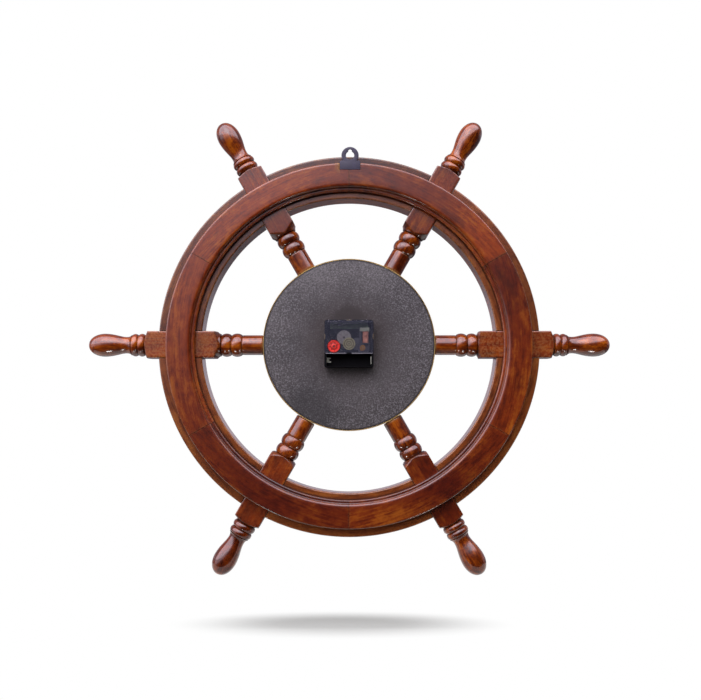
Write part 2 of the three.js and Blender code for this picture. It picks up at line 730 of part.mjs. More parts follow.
function dialNut() {
  const from = nutBack - NUT_THICKNESS;
  const sides = 6;
  const blank = disc(NUT_ACROSS_FLATS / 2 / Math.cos(Math.PI / sides), from, nutBack, sides);
  const bore = disc(SHAFT_HOLE_RADIUS, from - PAST, nutBack + PAST, ROUND_FACETS);
  return named('dial_nut', cut(blank, bore), BRASS);
}

// Hands

// A hand drawn as a lance that points up from a round boss, then turned clockwise to its place on the dial.
function handGeometry({ length, tail, width, bossWall }, seatRadius, plane, clockwise) {
  const half = width / 2;
  const flare = width * HAND_FLARE;
  const blade = outlineOf([
    [-half, -tail],
    [half, -tail],
    [half, length * HAND_NECK],
    [flare, length * HAND_WIDEST],
    [0, length],
    [-flare, length * HAND_WIDEST],
    [-half, length * HAND_NECK],
  ]);
  const from = plane - HAND_THICKNESS;
  const whole = joined(slab(blade, from, plane), disc(seatRadius + bossWall, from, plane, BORE_FACETS));
  const seat = disc(seatRadius + RUNNING_FIT, from - PAST, plane + PAST, PIN_FACETS);
  return cut(whole, seat).rotateY(clockwise);
}

function hands() {
  const turn = 2 * Math.PI;
  const hourAngle = (HOUR_AT_REST / 12) * turn;
  const minuteAngle = (MINUTE_AT_REST / 60) * turn;
  const secondAngle = (SECOND_AT_REST / 60) * turn;
  const hour = handGeometry(HOUR_HAND, HOUR_TUBE_RADIUS, hourHandPlane, hourAngle);
  const minute = handGeometry(MINUTE_HAND, MINUTE_TUBE_RADIUS, minuteHandPlane, minuteAngle);
  const second = handGeometry(SECOND_HAND, ARBOR_RADIUS, secondHandPlane, secondAngle);
  return [
    named('hour_hand', hour, BLACK_PLASTIC),
    named('minute_hand', minute, BLACK_PLASTIC),
    named('second_hand', second, RED_PLASTIC),
  ];
}

// Gear train

function polar(distance, direction, from = { x: 0, z: 0 }) {
  return { x: from.x + distance * Math.cos(direction), z: from.z + distance * Math.sin(direction) };
}

const shaftCentre = { x: 0, z: 0 };
const thirdCentre = polar(THIRD_DISTANCE, THIRD_DIRECTION);
const intermediateCentre = polar(INTERMEDIATE_DISTANCE, KNOB_DIRECTION);
const intermediateModule = (2 * INTERMEDIATE_DISTANCE) / (CANNON_LEAVES + INTERMEDIATE_TEETH);
const hourModule = (2 * INTERMEDIATE_DISTANCE) / (INTERMEDIATE_LEAVES + HOUR_TEETH);
const secondsModule = (2 * THIRD_DISTANCE) / (SECONDS_LEAVES + THIRD_TEETH);
const centreModule = (2 * THIRD_DISTANCE) / (THIRD_LEAVES + CENTRE_TEETH);
const stepModule = (2 * STEP_DISTANCE) / (STEP_LEAVES + SECONDS_TEETH);
const rotorModule = (2 * ROTOR_DISTANCE) / (ROTOR_LEAVES + STEP_TEETH);
const knobDistance = (intermediateModule * (INTERMEDIATE_TEETH + KNOB_LEAVES)) / 2;
const knobCentre = polar(knobDistance, KNOB_DIRECTION, intermediateCentre);
const stepCentre = polar(STEP_DISTANCE, STEP_DIRECTION);
const rotorCentre = polar(ROTOR_DISTANCE, ROTOR_DIRECTION, stepCentre);

// The angle of a wheel's first tooth that meshes with a pinion whose first leaf stands at pinionPhase.
function meshingPhase(wheelTeeth, wheelCentre, pinionTeeth, pinionCentre, pinionPhase = 0) {
  const toWheel = Math.atan2(wheelCentre.z - pinionCentre.z, wheelCentre.x - pinionCentre.x);
  const leavesPast = ((toWheel - pinionPhase) * pinionTeeth) / (2 * Math.PI);
  return toWheel + Math.PI - ((0.5 - leavesPast) * 2 * Math.PI) / wheelTeeth;
}

function gear(teeth, gearModule, tooth, phase, from, to) {
  const pitchAngle = (2 * Math.PI) / teeth;
  const root = gearModule * (teeth / 2 - tooth.dedendum);
  const tip = gearModule * (teeth / 2 + tooth.addendum);
  const crest = tooth.tip > 0 ? [[tip, -tooth.tip], [tip, tooth.tip]] : [[tip, 0]];
  const corners = [[root, -tooth.root], ...crest, [root, tooth.root]];
  const points = [];
  for (let i = 0; i < teeth; i++) {
    for (const [radius, share] of corners) {
      const angle = phase + (i + share) * pitchAngle;
      points.push([radius * Math.cos(angle), radius * Math.sin(angle)]);
    }
  }
  return slab(outlineOf(points), housingFront + from, housingFront + to);
}

// An arbor along Y with a thinner pivot at one or both ends. Depths count from the housing's dial side.
function arbor(radius, from, to, { frontPivot = 0, backPivot = 0 } = {}) {
  const start = housingFront + from;
  const end = housingFront + to;
  const outline = [[0, start - frontPivot]];
  if (frontPivot > 0) {
    outline.push([PIVOT_RADIUS, start - frontPivot], [PIVOT_RADIUS, start]);
  }
  outline.push([radius, start], [radius, end]);
  if (backPivot > 0) {
    outline.push([PIVOT_RADIUS, end], [PIVOT_RADIUS, end + backPivot]);
  }
  outline.push([0, end + backPivot]);
  return turned(outline, PIN_FACETS);
}

function atCentre(centre, mesh) {
  mesh.position.set(centre.x, 0, centre.z);
  return mesh;
}

const postTop = centreLayer - LAYER_GAP;
const bossEnd = coverSeat - PIVOT_BOSS_DEPTH;
const topShoulder = bossEnd - GLUE_LINE;
const plateBack = trainPlateLayer + TRAIN_PLATE_THICKNESS;
const pinionFoot = plateBack + GLUE_LINE / 2;
const knobBack = HOUSING_DEPTH - KNOB_RECESS;
const knobFront = knobBack - KNOB_THICKNESS;

function hourWheel() {
  const phase = meshingPhase(HOUR_TEETH, shaftCentre, INTERMEDIATE_LEAVES, intermediateCentre);
  const back = hourLayer + WHEEL_THICKNESS;
  const body = joined(
    gear(HOUR_TEETH, hourModule, WHEEL_TOOTH, phase, hourLayer, back),
    disc(HOUR_TUBE_RADIUS, hourHandPlane - HAND_THICKNESS, housingFront + back, BORE_FACETS),
  );
  const boreEnd = hourHandPlane - HAND_THICKNESS - PAST;
  const bore = disc(HOUR_TUBE_BORE, boreEnd, housingFront + back + PAST, BORE_FACETS);
  return named('hour_wheel', cut(body, bore), CREAM_PLASTIC);
}

function minuteArbor() {
  const from = intermediateLayer - LEAF_OVERLAP;
  const to = intermediateLayer + WHEEL_THICKNESS + LEAF_OVERLAP;
  const seatEnd = centreLayer + WHEEL_THICKNESS + LEAF_OVERLAP;
  const body = joined(
    gear(CANNON_LEAVES, intermediateModule, LEAF_TOOTH, 0, from, to),
    disc(MINUTE_TUBE_RADIUS, minuteHandPlane - HAND_THICKNESS, housingFront + seatEnd, BORE_FACETS),
  );
  const boreEnd = minuteHandPlane - HAND_THICKNESS - PAST;
  const bore = disc(MINUTE_TUBE_BORE, boreEnd, housingFront + seatEnd + PAST, BORE_FACETS);
  return named('minute_arbor', cut(body, bore), BRASS);
}

function intermediateWheel() {
  const phase = meshingPhase(INTERMEDIATE_TEETH, intermediateCentre, CANNON_LEAVES, shaftCentre);
  const back = intermediateLayer + WHEEL_THICKNESS;
  const leavesFront = hourLayer - LEAF_OVERLAP;
  const body = joined(
    gear(INTERMEDIATE_TEETH, intermediateModule, WHEEL_TOOTH, phase, intermediateLayer, back),
    gear(INTERMEDIATE_LEAVES, hourModule, LEAF_TOOTH, 0, leavesFront, intermediateLayer + LEAF_OVERLAP),
  );
  const bore = disc(ARBOR_RADIUS + RUNNING_FIT, housingFront, housingFront + back + PAST, PIN_FACETS);
  return atCentre(intermediateCentre, named('intermediate_wheel', cut(body, bore), WHITE_PLASTIC));
}

function centreWheel() {
  const phase = meshingPhase(CENTRE_TEETH, shaftCentre, THIRD_LEAVES, thirdCentre);
  const back = centreLayer + WHEEL_THICKNESS;
  const wheel = gear(CENTRE_TEETH, centreModule, WHEEL_TOOTH, phase, centreLayer, back);
  const seat = disc(MINUTE_TUBE_RADIUS + RUNNING_FIT, housingFront, housingFront + back + PAST, BORE_FACETS);
  return named('centre_wheel', cut(wheel, seat), WHITE_PLASTIC);
}

function thirdWheel() {
  const phase = meshingPhase(THIRD_TEETH, thirdCentre, SECONDS_LEAVES, shaftCentre);
  const back = thirdLayer + WHEEL_THICKNESS;
  const leavesBack = centreLayer + WHEEL_THICKNESS + LEAF_OVERLAP;
  const body = joined(
    gear(THIRD_TEETH, secondsModule, WHEEL_TOOTH, phase, thirdLayer, back),
    gear(THIRD_LEAVES, centreModule, LEAF_TOOTH, 0, centreLayer - LEAF_OVERLAP, leavesBack),
    arbor(ARBOR_RADIUS, postTop + GLUE_LINE, topShoulder, twoPivots),
  );
  return atCentre(thirdCentre, named('third_wheel', body, WHITE_PLASTIC));
}

function secondsWheel() {
  const phase = meshingPhase(SECONDS_TEETH, shaftCentre, STEP_LEAVES, stepCentre);
  const back = secondsLayer + WHEEL_THICKNESS;
  const leavesBack = thirdLayer + WHEEL_THICKNESS + LEAF_OVERLAP;
  const shaftEnd = secondHandPlane - HAND_THICKNESS - housingFront;
  const body = joined(
    gear(SECONDS_TEETH, stepModule, WHEEL_TOOTH, phase, secondsLayer, back),
    gear(SECONDS_LEAVES, secondsModule, LEAF_TOOTH, 0, thirdLayer - LEAF_OVERLAP, leavesBack),
    arbor(ARBOR_RADIUS, shaftEnd, topShoulder, { backPivot: PIVOT_LENGTH }),
  );
  return named('seconds_wheel', body, CREAM_PLASTIC);
}

function stepWheel() {
  const phase = meshingPhase(STEP_TEETH, stepCentre, ROTOR_LEAVES, rotorCentre);
  const back = stepLayer + WHEEL_THICKNESS;
  const leavesBack = secondsLayer + WHEEL_THICKNESS + LEAF_OVERLAP;
  const body = joined(
    gear(STEP_TEETH, rotorModule, WHEEL_TOOTH, phase, stepLayer, back),
    gear(STEP_LEAVES, stepModule, LEAF_TOOTH, 0, secondsLayer - LEAF_OVERLAP, leavesBack),
    arbor(ARBOR_RADIUS, pinionFoot, topShoulder, twoPivots),
  );
  return atCentre(stepCentre, named('step_wheel', body, WHITE_PLASTIC));
}

const flangeDepth = COIL_DEPTH / 2 + 0.1;
const coilCentreDepth = stepLayer + WHEEL_THICKNESS + GLUE_LINE + flangeDepth;
const coilCoreLayer = coilCentreDepth - STATOR_THICKNESS / 2;
const statorLayer = coilCoreLayer - GLUE_LINE - STATOR_THICKNESS;

function rotor() {
  const leavesBack = stepLayer + WHEEL_THICKNESS + LEAF_OVERLAP;
  const magnetFront = statorLayer - LEAF_OVERLAP;
  const magnetBack = coilCoreLayer + STATOR_THICKNESS;
  const capBack = magnetBack + ROTOR_CAP_DEPTH;
  const outline = [
    [0, housingFront + magnetFront],
    [MAGNET_RADIUS, housingFront + magnetFront],
    [MAGNET_RADIUS, housingFront + magnetBack],
    [ROTOR_CAP_RADIUS, housingFront + magnetBack],
    [ROTOR_CAP_RADIUS, housingFront + capBack],
    [0, housingFront + capBack],
  ];
  const body = joined(
    gear(ROTOR_LEAVES, rotorModule, LEAF_TOOTH, 0, pinionFoot, leavesBack),
    turned(outline, ROUND_FACETS),
    arbor(ARBOR_RADIUS, pinionFoot, topShoulder, twoPivots),
  );
  return atCentre(rotorCentre, named('rotor', body, MAGNET));
}

// The red setting knob: a recessed grip disc on a stem that ends in the setting pinion.
function settingKnob() {
  const phase = meshingPhase(
    KNOB_LEAVES,
    knobCentre,
    INTERMEDIATE_TEETH,
    intermediateCentre,
    meshingPhase(INTERMEDIATE_TEETH, intermediateCentre, CANNON_LEAVES, shaftCentre),
  );
  const leavesFront = intermediateLayer - LEAF_OVERLAP;
  const leavesBack = intermediateLayer + WHEEL_THICKNESS + LEAF_OVERLAP;
  const face = housingFront + knobBack;
  const dish = face - KNOB_DISH_DEPTH;
  const outline = [
    [0, housingFront + knobFront],
    [KNOB_RADIUS, housingFront + knobFront],
    [KNOB_RADIUS, face],
    [KNOB_RADIUS - KNOB_RIM_WIDTH, face],
    [KNOB_RADIUS - KNOB_RIM_WIDTH, dish],
    [KNOB_CENTRE_RADIUS, dish],
    [KNOB_CENTRE_RADIUS, face],
    [0, face],
  ];
  const body = joined(
    gear(KNOB_LEAVES, intermediateModule, LEAF_TOOTH, phase, leavesFront, leavesBack),
    turned(outline, KNOB_FACETS),
    arbor(KNOB_STEM_RADIUS, leavesFront, knobFront + INTO, { frontPivot: PIVOT_LENGTH }),
  );
  return atCentre(knobCentre, named('setting_knob', body, RED_PLASTIC));
}

// Movement housing

// A round post or hole at a centre of the train. Depths count from the housing's dial side.
function post(centre, radius, from, to, facets = PIN_FACETS) {
  return disc(radius, housingFront + from, housingFront + to, facets).translate(centre.x, 0, centre.z);
}

// Slots for the cover's three latches, or the latches themselves, as boxes at both sides and the top.
function latchBoxes(half, thickness, past, from, to) {
  const bottom = LATCH_HEIGHT - half;
  const top = LATCH_HEIGHT + half;
  return [
    box(housingSide - thickness, housingSide + past, from, to, bottom, top),
    box(-housingSide - past, thickness - housingSide, from, to, bottom, top),
    box(-half, half, from, to, housingTop - thickness, housingTop + past),
  ];
}

const plateBottom = trainBottom + PLATE_FOOT_GAP;
const plateTop = boardBottom - PLATE_BOARD_GAP;
const plateSide = housingSide - HOUSING_WALL - PLATE_SIDE_GAP;
const platePosts = [-1, 1].flatMap((side) =>
  [plateBottom + PLATE_POST_INSET.up, plateTop - PLATE_POST_INSET.up].map((z) => ({
    x: side * (plateSide - PLATE_POST_INSET.across),
    z,
  })),
);

function movementHousing() {
  const inner = housingSide - HOUSING_WALL;
  const bayHalf = BAY_LENGTH / 2;
  const floor = housingFront + HOUSING_FLOOR;
  const above = housingFront + HOUSING_DEPTH + PAST;
  const trainWall = housingFront + coverSeat - GLUE_LINE;
  const bayWallTop = coverBottom - GLUE_LINE;
  const latchSlots = latchBoxes(
    LATCH_WIDTH / 2 + GLUE_LINE,
    LATCH_THICKNESS + GLUE_LINE,
    PAST,
    trainWall - LATCH_LENGTH,
    above,
  );
  const low = roundedRectangle(-housingSide, housingSide, -housingTop, housingTop, HOUSING_CORNER);
  const high = roundedRectangle(-housingSide, housingSide, -housingTop, bayWallTop, HOUSING_CORNER / 2);
  const shell = cut(
    joined(
      slab(low, housingFront, trainWall, 3),
      slab(high, housingFront + HOUSING_CORNER, housingFront + HOUSING_DEPTH, 3),
    ),
    box(-inner, inner, floor, above, trainBottom, housingTop - HOUSING_WALL),
    box(-bayHalf, bayHalf, floor, above, bayBottom, bayTop),
    ...latchSlots,
    post(shaftCentre, SHAFT_HOLE_RADIUS, -PAST, HOUSING_FLOOR + PAST, ROUND_FACETS),
  );
  const root = HOUSING_FLOOR / 2;
  const cellSeat = box(
    CONTACT_THICKNESS + CELL_SEAT_MARGIN - contactEnd,
    contactEnd - NEGATIVE_TAB.length - CELL_SEAT_MARGIN,
    housingFront + root,
    floor + CELL_SEAT_RISE,
    bayBottom + CELL_SEAT_MARGIN,
    bayTop - CELL_SEAT_MARGIN,
  );
  const knobPostTop = intermediateLayer - LEAF_OVERLAP - GLUE_LINE;
  const intermediatePin = intermediateLayer + WHEEL_THICKNESS + GLUE_LINE;
  const furnished = joined(
    shell,
    cellSeat,
    post(thirdCentre, PIVOT_BOSS_RADIUS, root, postTop),
    post(knobCentre, KNOB_POST_RADIUS, root, knobPostTop),
    post(intermediateCentre, ARBOR_RADIUS, root, intermediatePin),
    ...platePosts.map((centre) => post(centre, PLATE_POST_RADIUS, root, trainPlateLayer - CLAMPED_FIT)),
  );
  const housing = cut(
    furnished,
    post(thirdCentre, pivotBore, postTop - PIVOT_LENGTH, postTop + PAST),
    post(knobCentre, pivotBore, knobPostTop - PIVOT_LENGTH, knobPostTop + PAST),
  );
  return named('movement_housing', housing, BLACK_PLASTIC);
}

// The black plate that carries the step wheel and the rotor above the setting wheels.
function trainPlate() {
  const front = housingFront + trainPlateLayer;
  const postEnd = statorLayer - CLAMPED_FIT;
  const blank = joined(
    box(-plateSide, plateSide, front, housingFront + plateBack, plateBottom, plateTop),
    ...statorPosts.map((centre) => post(centre, STATOR_POST_RADIUS, plateBack - INTO, postEnd)),
  );
  const pinionRadius = centreModule * (THIRD_LEAVES / 2 + LEAF_TOOTH.addendum);
  const hole = (centre, radius, facets) =>
    post(centre, radius, trainPlateLayer - PAST, plateBack + PAST, facets);
  const pierced = cut(
    blank,
    hole(shaftCentre, ARBOR_RADIUS + RUNNING_FIT),
    hole(thirdCentre, pinionRadius + PLATE_PINION_GAP, BORE_FACETS),
    hole(knobCentre, KNOB_STEM_RADIUS + RUNNING_FIT, BORE_FACETS),
    hole(stepCentre, pivotBore),
    hole(rotorCentre, pivotBore),
  );
  return named('train_plate', pierced, BLACK_PLASTIC);
}

const flangeHalf = COIL_WIDTH / 2 + FLANGE_OVERHANG;
const coilLeft = COIL_ACROSS - flangeHalf;
const coilRight = COIL_ACROSS + flangeHalf;
const coilBottom = COIL_UP - COIL_LENGTH / 2;
const coilTop = COIL_UP + COIL_LENGTH / 2;
const coilMiddle = housingFront + coilCentreDepth;
const armInner = coilRight + GLUE_LINE;
const armOuter = armInner + STATOR_ARM_WIDTH;
const lobeTop = coilBottom - FLANGE_THICKNESS - GLUE_LINE;
const statorTop = coilTop + FLANGE_THICKNESS + CORE_WIDTH + GLUE_LINE;
const statorPosts = [
  { x: (armInner + armOuter) / 2, z: coilTop - STATOR_POST_INSET },
  { x: coilLeft + STATOR_POST_INSET, z: lobeTop - STATOR_POST_INSET },
];

// The soft iron stator: a lobe round the rotor and an arm that rises beside the coil to its top.
function stator() {
  const right = rotorCentre.x + MAGNET_RADIUS + STATOR_LOBE_WALL;
  const bottom = rotorCentre.z - MAGNET_RADIUS - STATOR_LOBE_WALL;
  const slope = STATOR_CLIP / 2;
  const outline = outlineOf([
    [coilLeft, bottom + STATOR_CLIP],
    [coilLeft + STATOR_CLIP, bottom],
    [right - STATOR_CLIP, bottom],
    [right, bottom + STATOR_CLIP],
    [right, lobeTop - slope],
    [armOuter, lobeTop + slope],
    [armOuter, statorTop],
    [COIL_ACROSS - CORE_WIDTH, statorTop],
    [COIL_ACROSS - CORE_WIDTH, statorTop - CORE_WIDTH],
    [armInner, statorTop - CORE_WIDTH],
    [armInner, lobeTop],
    [coilLeft, lobeTop],
  ]);
  const front = housingFront + statorLayer;
  const plate = slab(outline, front, front + STATOR_THICKNESS);
  const reach = statorLayer + STATOR_THICKNESS + PAST;
  const hole = post(rotorCentre, MAGNET_RADIUS + RUNNING_FIT, statorLayer - PAST, reach, ROUND_FACETS);
  return named('stator', cut(plate, hole), STEEL);
}

function coilCore() {
  const half = CORE_WIDTH / 2;
  const front = housingFront + coilCoreLayer;
  const bottom = lobeTop - CORE_WIDTH / 2;
  const bar = box(COIL_ACROSS - half, COIL_ACROSS + half, front, front + STATOR_THICKNESS, bottom, statorTop);
  return named('coil_core', bar, STEEL);
}

// A body round the coil's middle, given by its half width and half depth.
function roundCoil(halfWidth, halfDepth, bottom, top) {
  return box(
    COIL_ACROSS - halfWidth,
    COIL_ACROSS + halfWidth,
    coilMiddle - halfDepth,
    coilMiddle + halfDepth,
    bottom,
    top,
  );
}

const sleeveHalfWidth = CORE_WIDTH / 2 + SLEEVE_WALL;
const sleeveHalfDepth = SLEEVE_DEPTH / 2;

// The bobbin: two flanges on a sleeve, with a terminal block along the top.
function coilBobbin() {
  const terminalBack = coilMiddle + flangeDepth;
  const terminalFront = terminalBack - TERMINAL_THICKNESS;
  const body = joined(
    roundCoil(flangeHalf, flangeDepth, coilBottom - FLANGE_THICKNESS, coilBottom),
    roundCoil(flangeHalf, flangeDepth, coilTop, coilTop + FLANGE_THICKNESS),
    roundCoil(sleeveHalfWidth, sleeveHalfDepth, coilBottom - INTO, coilTop + INTO),
    box(coilLeft, COIL_ACROSS + TERMINAL_REACH, terminalFront, terminalBack, coilTop, statorTop + INTO),
  );
  const way = roundCoil(
    CORE_WIDTH / 2 + RUNNING_FIT,
    STATOR_THICKNESS / 2 + RUNNING_FIT,
    coilBottom - FLANGE_THICKNESS - PAST,
    coilTop + FLANGE_THICKNESS + PAST,
  );
  return named('coil_bobbin', cut(body, way), CREAM_PLASTIC);
}

// The winding as one smooth body between the bobbin's flanges.
function coilWinding() {
  const halfWidth = COIL_WIDTH / 2;
  const halfDepth = COIL_DEPTH / 2 - CLAMPED_FIT;
  const shape = roundedRectangle(-halfWidth, halfWidth, -halfDepth, halfDepth, WINDING_CORNER);
  const settings = { depth: COIL_LENGTH - 2 * GLUE_LINE, bevelEnabled: false, curveSegments: 3 };
  const winding = new THREE.ExtrudeGeometry(shape, settings);
  winding.translate(COIL_ACROSS, coilMiddle, coilBottom + GLUE_LINE);
  const way = roundCoil(
    sleeveHalfWidth + GLUE_LINE,
    sleeveHalfDepth + GLUE_LINE,
    coilBottom - PAST,
    coilTop + PAST,
  );
  return named('coil_winding', cut(winding, way), COPPER);
}

const boardFront = housingFront + HOUSING_FLOOR + GLUE_LINE;
const boardBack = boardFront + BOARD_THICKNESS;

function circuitBoard() {
  const board = box(-BOARD_WIDTH / 2, BOARD_WIDTH / 2, boardFront, boardBack, boardBottom, boardTop);
  return named('circuit_board', board, BOARD_GREEN);
}

function quartzCrystal() {
  const can = new THREE.CylinderGeometry(CRYSTAL_RADIUS, CRYSTAL_RADIUS, CRYSTAL_LENGTH, BORE_FACETS);
  can.rotateZ(Math.PI / 2);
  can.translate(CRYSTAL_ACROSS, boardBack + GLUE_LINE + CRYSTAL_RADIUS, (boardBottom + boardTop) / 2);
  return named('quartz_crystal', can, STEEL);
}

const contactEnd = BAY_LENGTH / 2 - GLUE_LINE;
const contactFloor = housingFront + HOUSING_FLOOR + GLUE_LINE / 2;
const bayMiddle = (bayBottom + bayTop) / 2;

// The spring contact by the setting knob: a leaf up the end wall with a tab lying on the bay's floor.
function negativeContact() {
  const middle = bayMiddle + NEGATIVE_LEAF.above;
  const leafHalf = NEGATIVE_LEAF.width / 2;
  const tabHalf = NEGATIVE_TAB.width / 2;
  const leafStart = contactEnd - CONTACT_THICKNESS;
  const tabStart = contactEnd - NEGATIVE_TAB.length;
  const tabBack = contactFloor + CONTACT_THICKNESS;
  const leafBack = contactFloor + NEGATIVE_LEAF.rise;
  const leaf = box(leafStart, contactEnd, contactFloor, leafBack, middle - leafHalf, middle + leafHalf);
  const tab = box(tabStart, contactEnd, contactFloor, tabBack, middle - tabHalf, middle + tabHalf);
  return named('contact_negative', joined(leaf, tab), STEEL);
}

function positiveContact() {
  const half = POSITIVE_LEAF.width / 2;
  const back = contactFloor + POSITIVE_LEAF.rise;
  const inner = CONTACT_THICKNESS - contactEnd;
  const leaf = box(-contactEnd, inner, contactFloor, back, bayMiddle - half, bayMiddle + half);
  return named('contact_positive', leaf, STEEL);
}

// The smoked cover over the train, with a hole for the knob, bosses for the pivots and three latches.
function movementCover() {
  const under = housingFront + coverSeat;
  const outside = housingFront + HOUSING_DEPTH;
  const outline = roundedRectangle(-housingSide, housingSide, coverBottom, housingTop, HOUSING_CORNER);
  const lipBack = under - COVER_LIP_DEPTH;
  const lipSide = housingSide - HOUSING_WALL - GLUE_LINE;
  const lipTop = housingTop - HOUSING_WALL - GLUE_LINE;
  const lipBottom = trainBottom + GLUE_LINE;
  const knobHoleRadius = KNOB_RADIUS + KNOB_HOLE_SLACK;
  const lip = cut(
    box(-lipSide, lipSide, lipBack, under + INTO, lipBottom, lipTop),
    box(
      COVER_LIP_WALL - lipSide,
      lipSide - COVER_LIP_WALL,
      lipBack - PAST,
      under + PAST,
      lipBottom + COVER_LIP_WALL,
      lipTop - COVER_LIP_WALL,
    ),
    post(knobCentre, knobHoleRadius + PAST, coverSeat - COVER_LIP_DEPTH - PAST, coverSeat, KNOB_FACETS),
  );
  const pivots = [shaftCentre, thirdCentre, stepCentre, rotorCentre];
  const whole = joined(
    slab(outline, under, outside, 3),
    lip,
    ...latchBoxes(LATCH_WIDTH / 2, LATCH_THICKNESS, 0, under - LATCH_LENGTH, under + INTO),
    ...pivots.map((centre) => post(centre, PIVOT_BOSS_RADIUS, bossEnd, coverSeat + INTO)),
  );
  const cover = cut(
    whole,
    post(knobCentre, knobHoleRadius, coverSeat - COVER_LIP_DEPTH, HOUSING_DEPTH + PAST, KNOB_FACETS),
    disc(CLIP_NOTCH_RADIUS, under - PAST, outside + PAST, BORE_FACETS).translate(0, 0, coverBottom),
    ...pivots.map((centre) => post(centre, pivotBore, bossEnd - PAST, bossEnd + PIVOT_LENGTH)),
  );
  return named('movement_cover', cover, SMOKED_PLASTIC);
}

const clock = new THREE.Group();
clock.name = 'ship_wheel_clock';
clock.add(
  rimParts(),
  hangerPlate(),
  hubCore(),
  hubBand(),
  hubBackPlate(),
  dialPlate(),
  spacerRing(),
  glassLens(),
  bezel(),
  shaftBushing(),
  dialWasher(),
  dialNut(),
  ...hands(),
  movementHousing(),
  trainPlate(),
  movementCover(),
  circuitBoard(),
  quartzCrystal(),
  coilBobbin(),
  coilWinding(),
  coilCore(),
  stator(),
  rotor(),
  stepWheel(),
  secondsWheel(),
  thirdWheel(),
  centreWheel(),
  minuteArbor(),
  intermediateWheel(),
  hourWheel(),
  settingKnob(),
  negativeContact(),
  positiveContact(),
);

export default clock;
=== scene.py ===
"""Dresses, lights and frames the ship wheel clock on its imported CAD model.

Sizes of the pieces are in millimetres. Finishes, studio and finished meshes are in metres. The wheel lies in
the XZ plane: the dial looks along -Y, and the side that rests on the wall along +Y.
"""

import logging
import math
from collections.abc import Sequence
from dataclasses import dataclass, field
from enum import Enum

import bmesh
import bpy
import numpy as np
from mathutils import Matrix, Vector
from mathutils.kdtree import KDTree

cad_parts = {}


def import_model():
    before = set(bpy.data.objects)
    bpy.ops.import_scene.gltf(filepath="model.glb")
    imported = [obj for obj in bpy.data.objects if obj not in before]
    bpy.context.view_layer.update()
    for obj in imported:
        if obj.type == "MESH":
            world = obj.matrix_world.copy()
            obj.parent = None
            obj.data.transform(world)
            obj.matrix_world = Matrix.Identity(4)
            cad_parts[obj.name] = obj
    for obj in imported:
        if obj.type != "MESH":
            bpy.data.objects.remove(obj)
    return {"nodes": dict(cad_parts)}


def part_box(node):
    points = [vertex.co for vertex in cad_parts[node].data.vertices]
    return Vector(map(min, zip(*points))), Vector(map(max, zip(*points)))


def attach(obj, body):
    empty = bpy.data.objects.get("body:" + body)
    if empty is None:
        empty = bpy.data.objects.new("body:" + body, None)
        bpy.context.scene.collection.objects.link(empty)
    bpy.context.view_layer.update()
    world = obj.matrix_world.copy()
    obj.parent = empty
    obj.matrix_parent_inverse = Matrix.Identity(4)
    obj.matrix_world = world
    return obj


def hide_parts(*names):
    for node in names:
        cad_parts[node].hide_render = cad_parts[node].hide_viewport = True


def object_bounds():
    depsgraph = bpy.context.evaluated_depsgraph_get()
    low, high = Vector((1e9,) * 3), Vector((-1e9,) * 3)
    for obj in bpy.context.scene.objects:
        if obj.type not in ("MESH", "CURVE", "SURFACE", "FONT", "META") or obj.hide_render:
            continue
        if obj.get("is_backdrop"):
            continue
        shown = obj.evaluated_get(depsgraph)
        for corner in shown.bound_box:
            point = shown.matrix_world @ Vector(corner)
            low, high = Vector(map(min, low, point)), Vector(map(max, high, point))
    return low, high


log = logging.getLogger("ship_wheel_clock")
MM = 0.001
SPOKES = 6
PITCH = math.tau / SPOKES
IN_PLANE = (1.0, 0.0, 1.0)
Colour = tuple[float, float, float, float]
Point = tuple[float, float]
Piece = bpy.types.Object
Socket = bpy.types.NodeSocket
Feed = "Tone | float | Sequence[float] | Socket"
WHITE: Colour = (1.0, 1.0, 1.0, 1.0)


def shade(code: str) -> Colour:
    """Turns a colour written as six hexadecimal digits into the linear values that shaders use.

    Args:
        code: The digits, two each for red, green and blue.

    Returns:
        The colour, with its alpha.
    """
    values = [int(code[i : i + 2], 16) / 255 for i in (0, 2, 4)]
    linear = [v / 12.92 if v <= 0.04045 else ((v + 0.055) / 1.055) ** 2.4 for v in values]
    return (*linear, 1.0)


# Shader maths


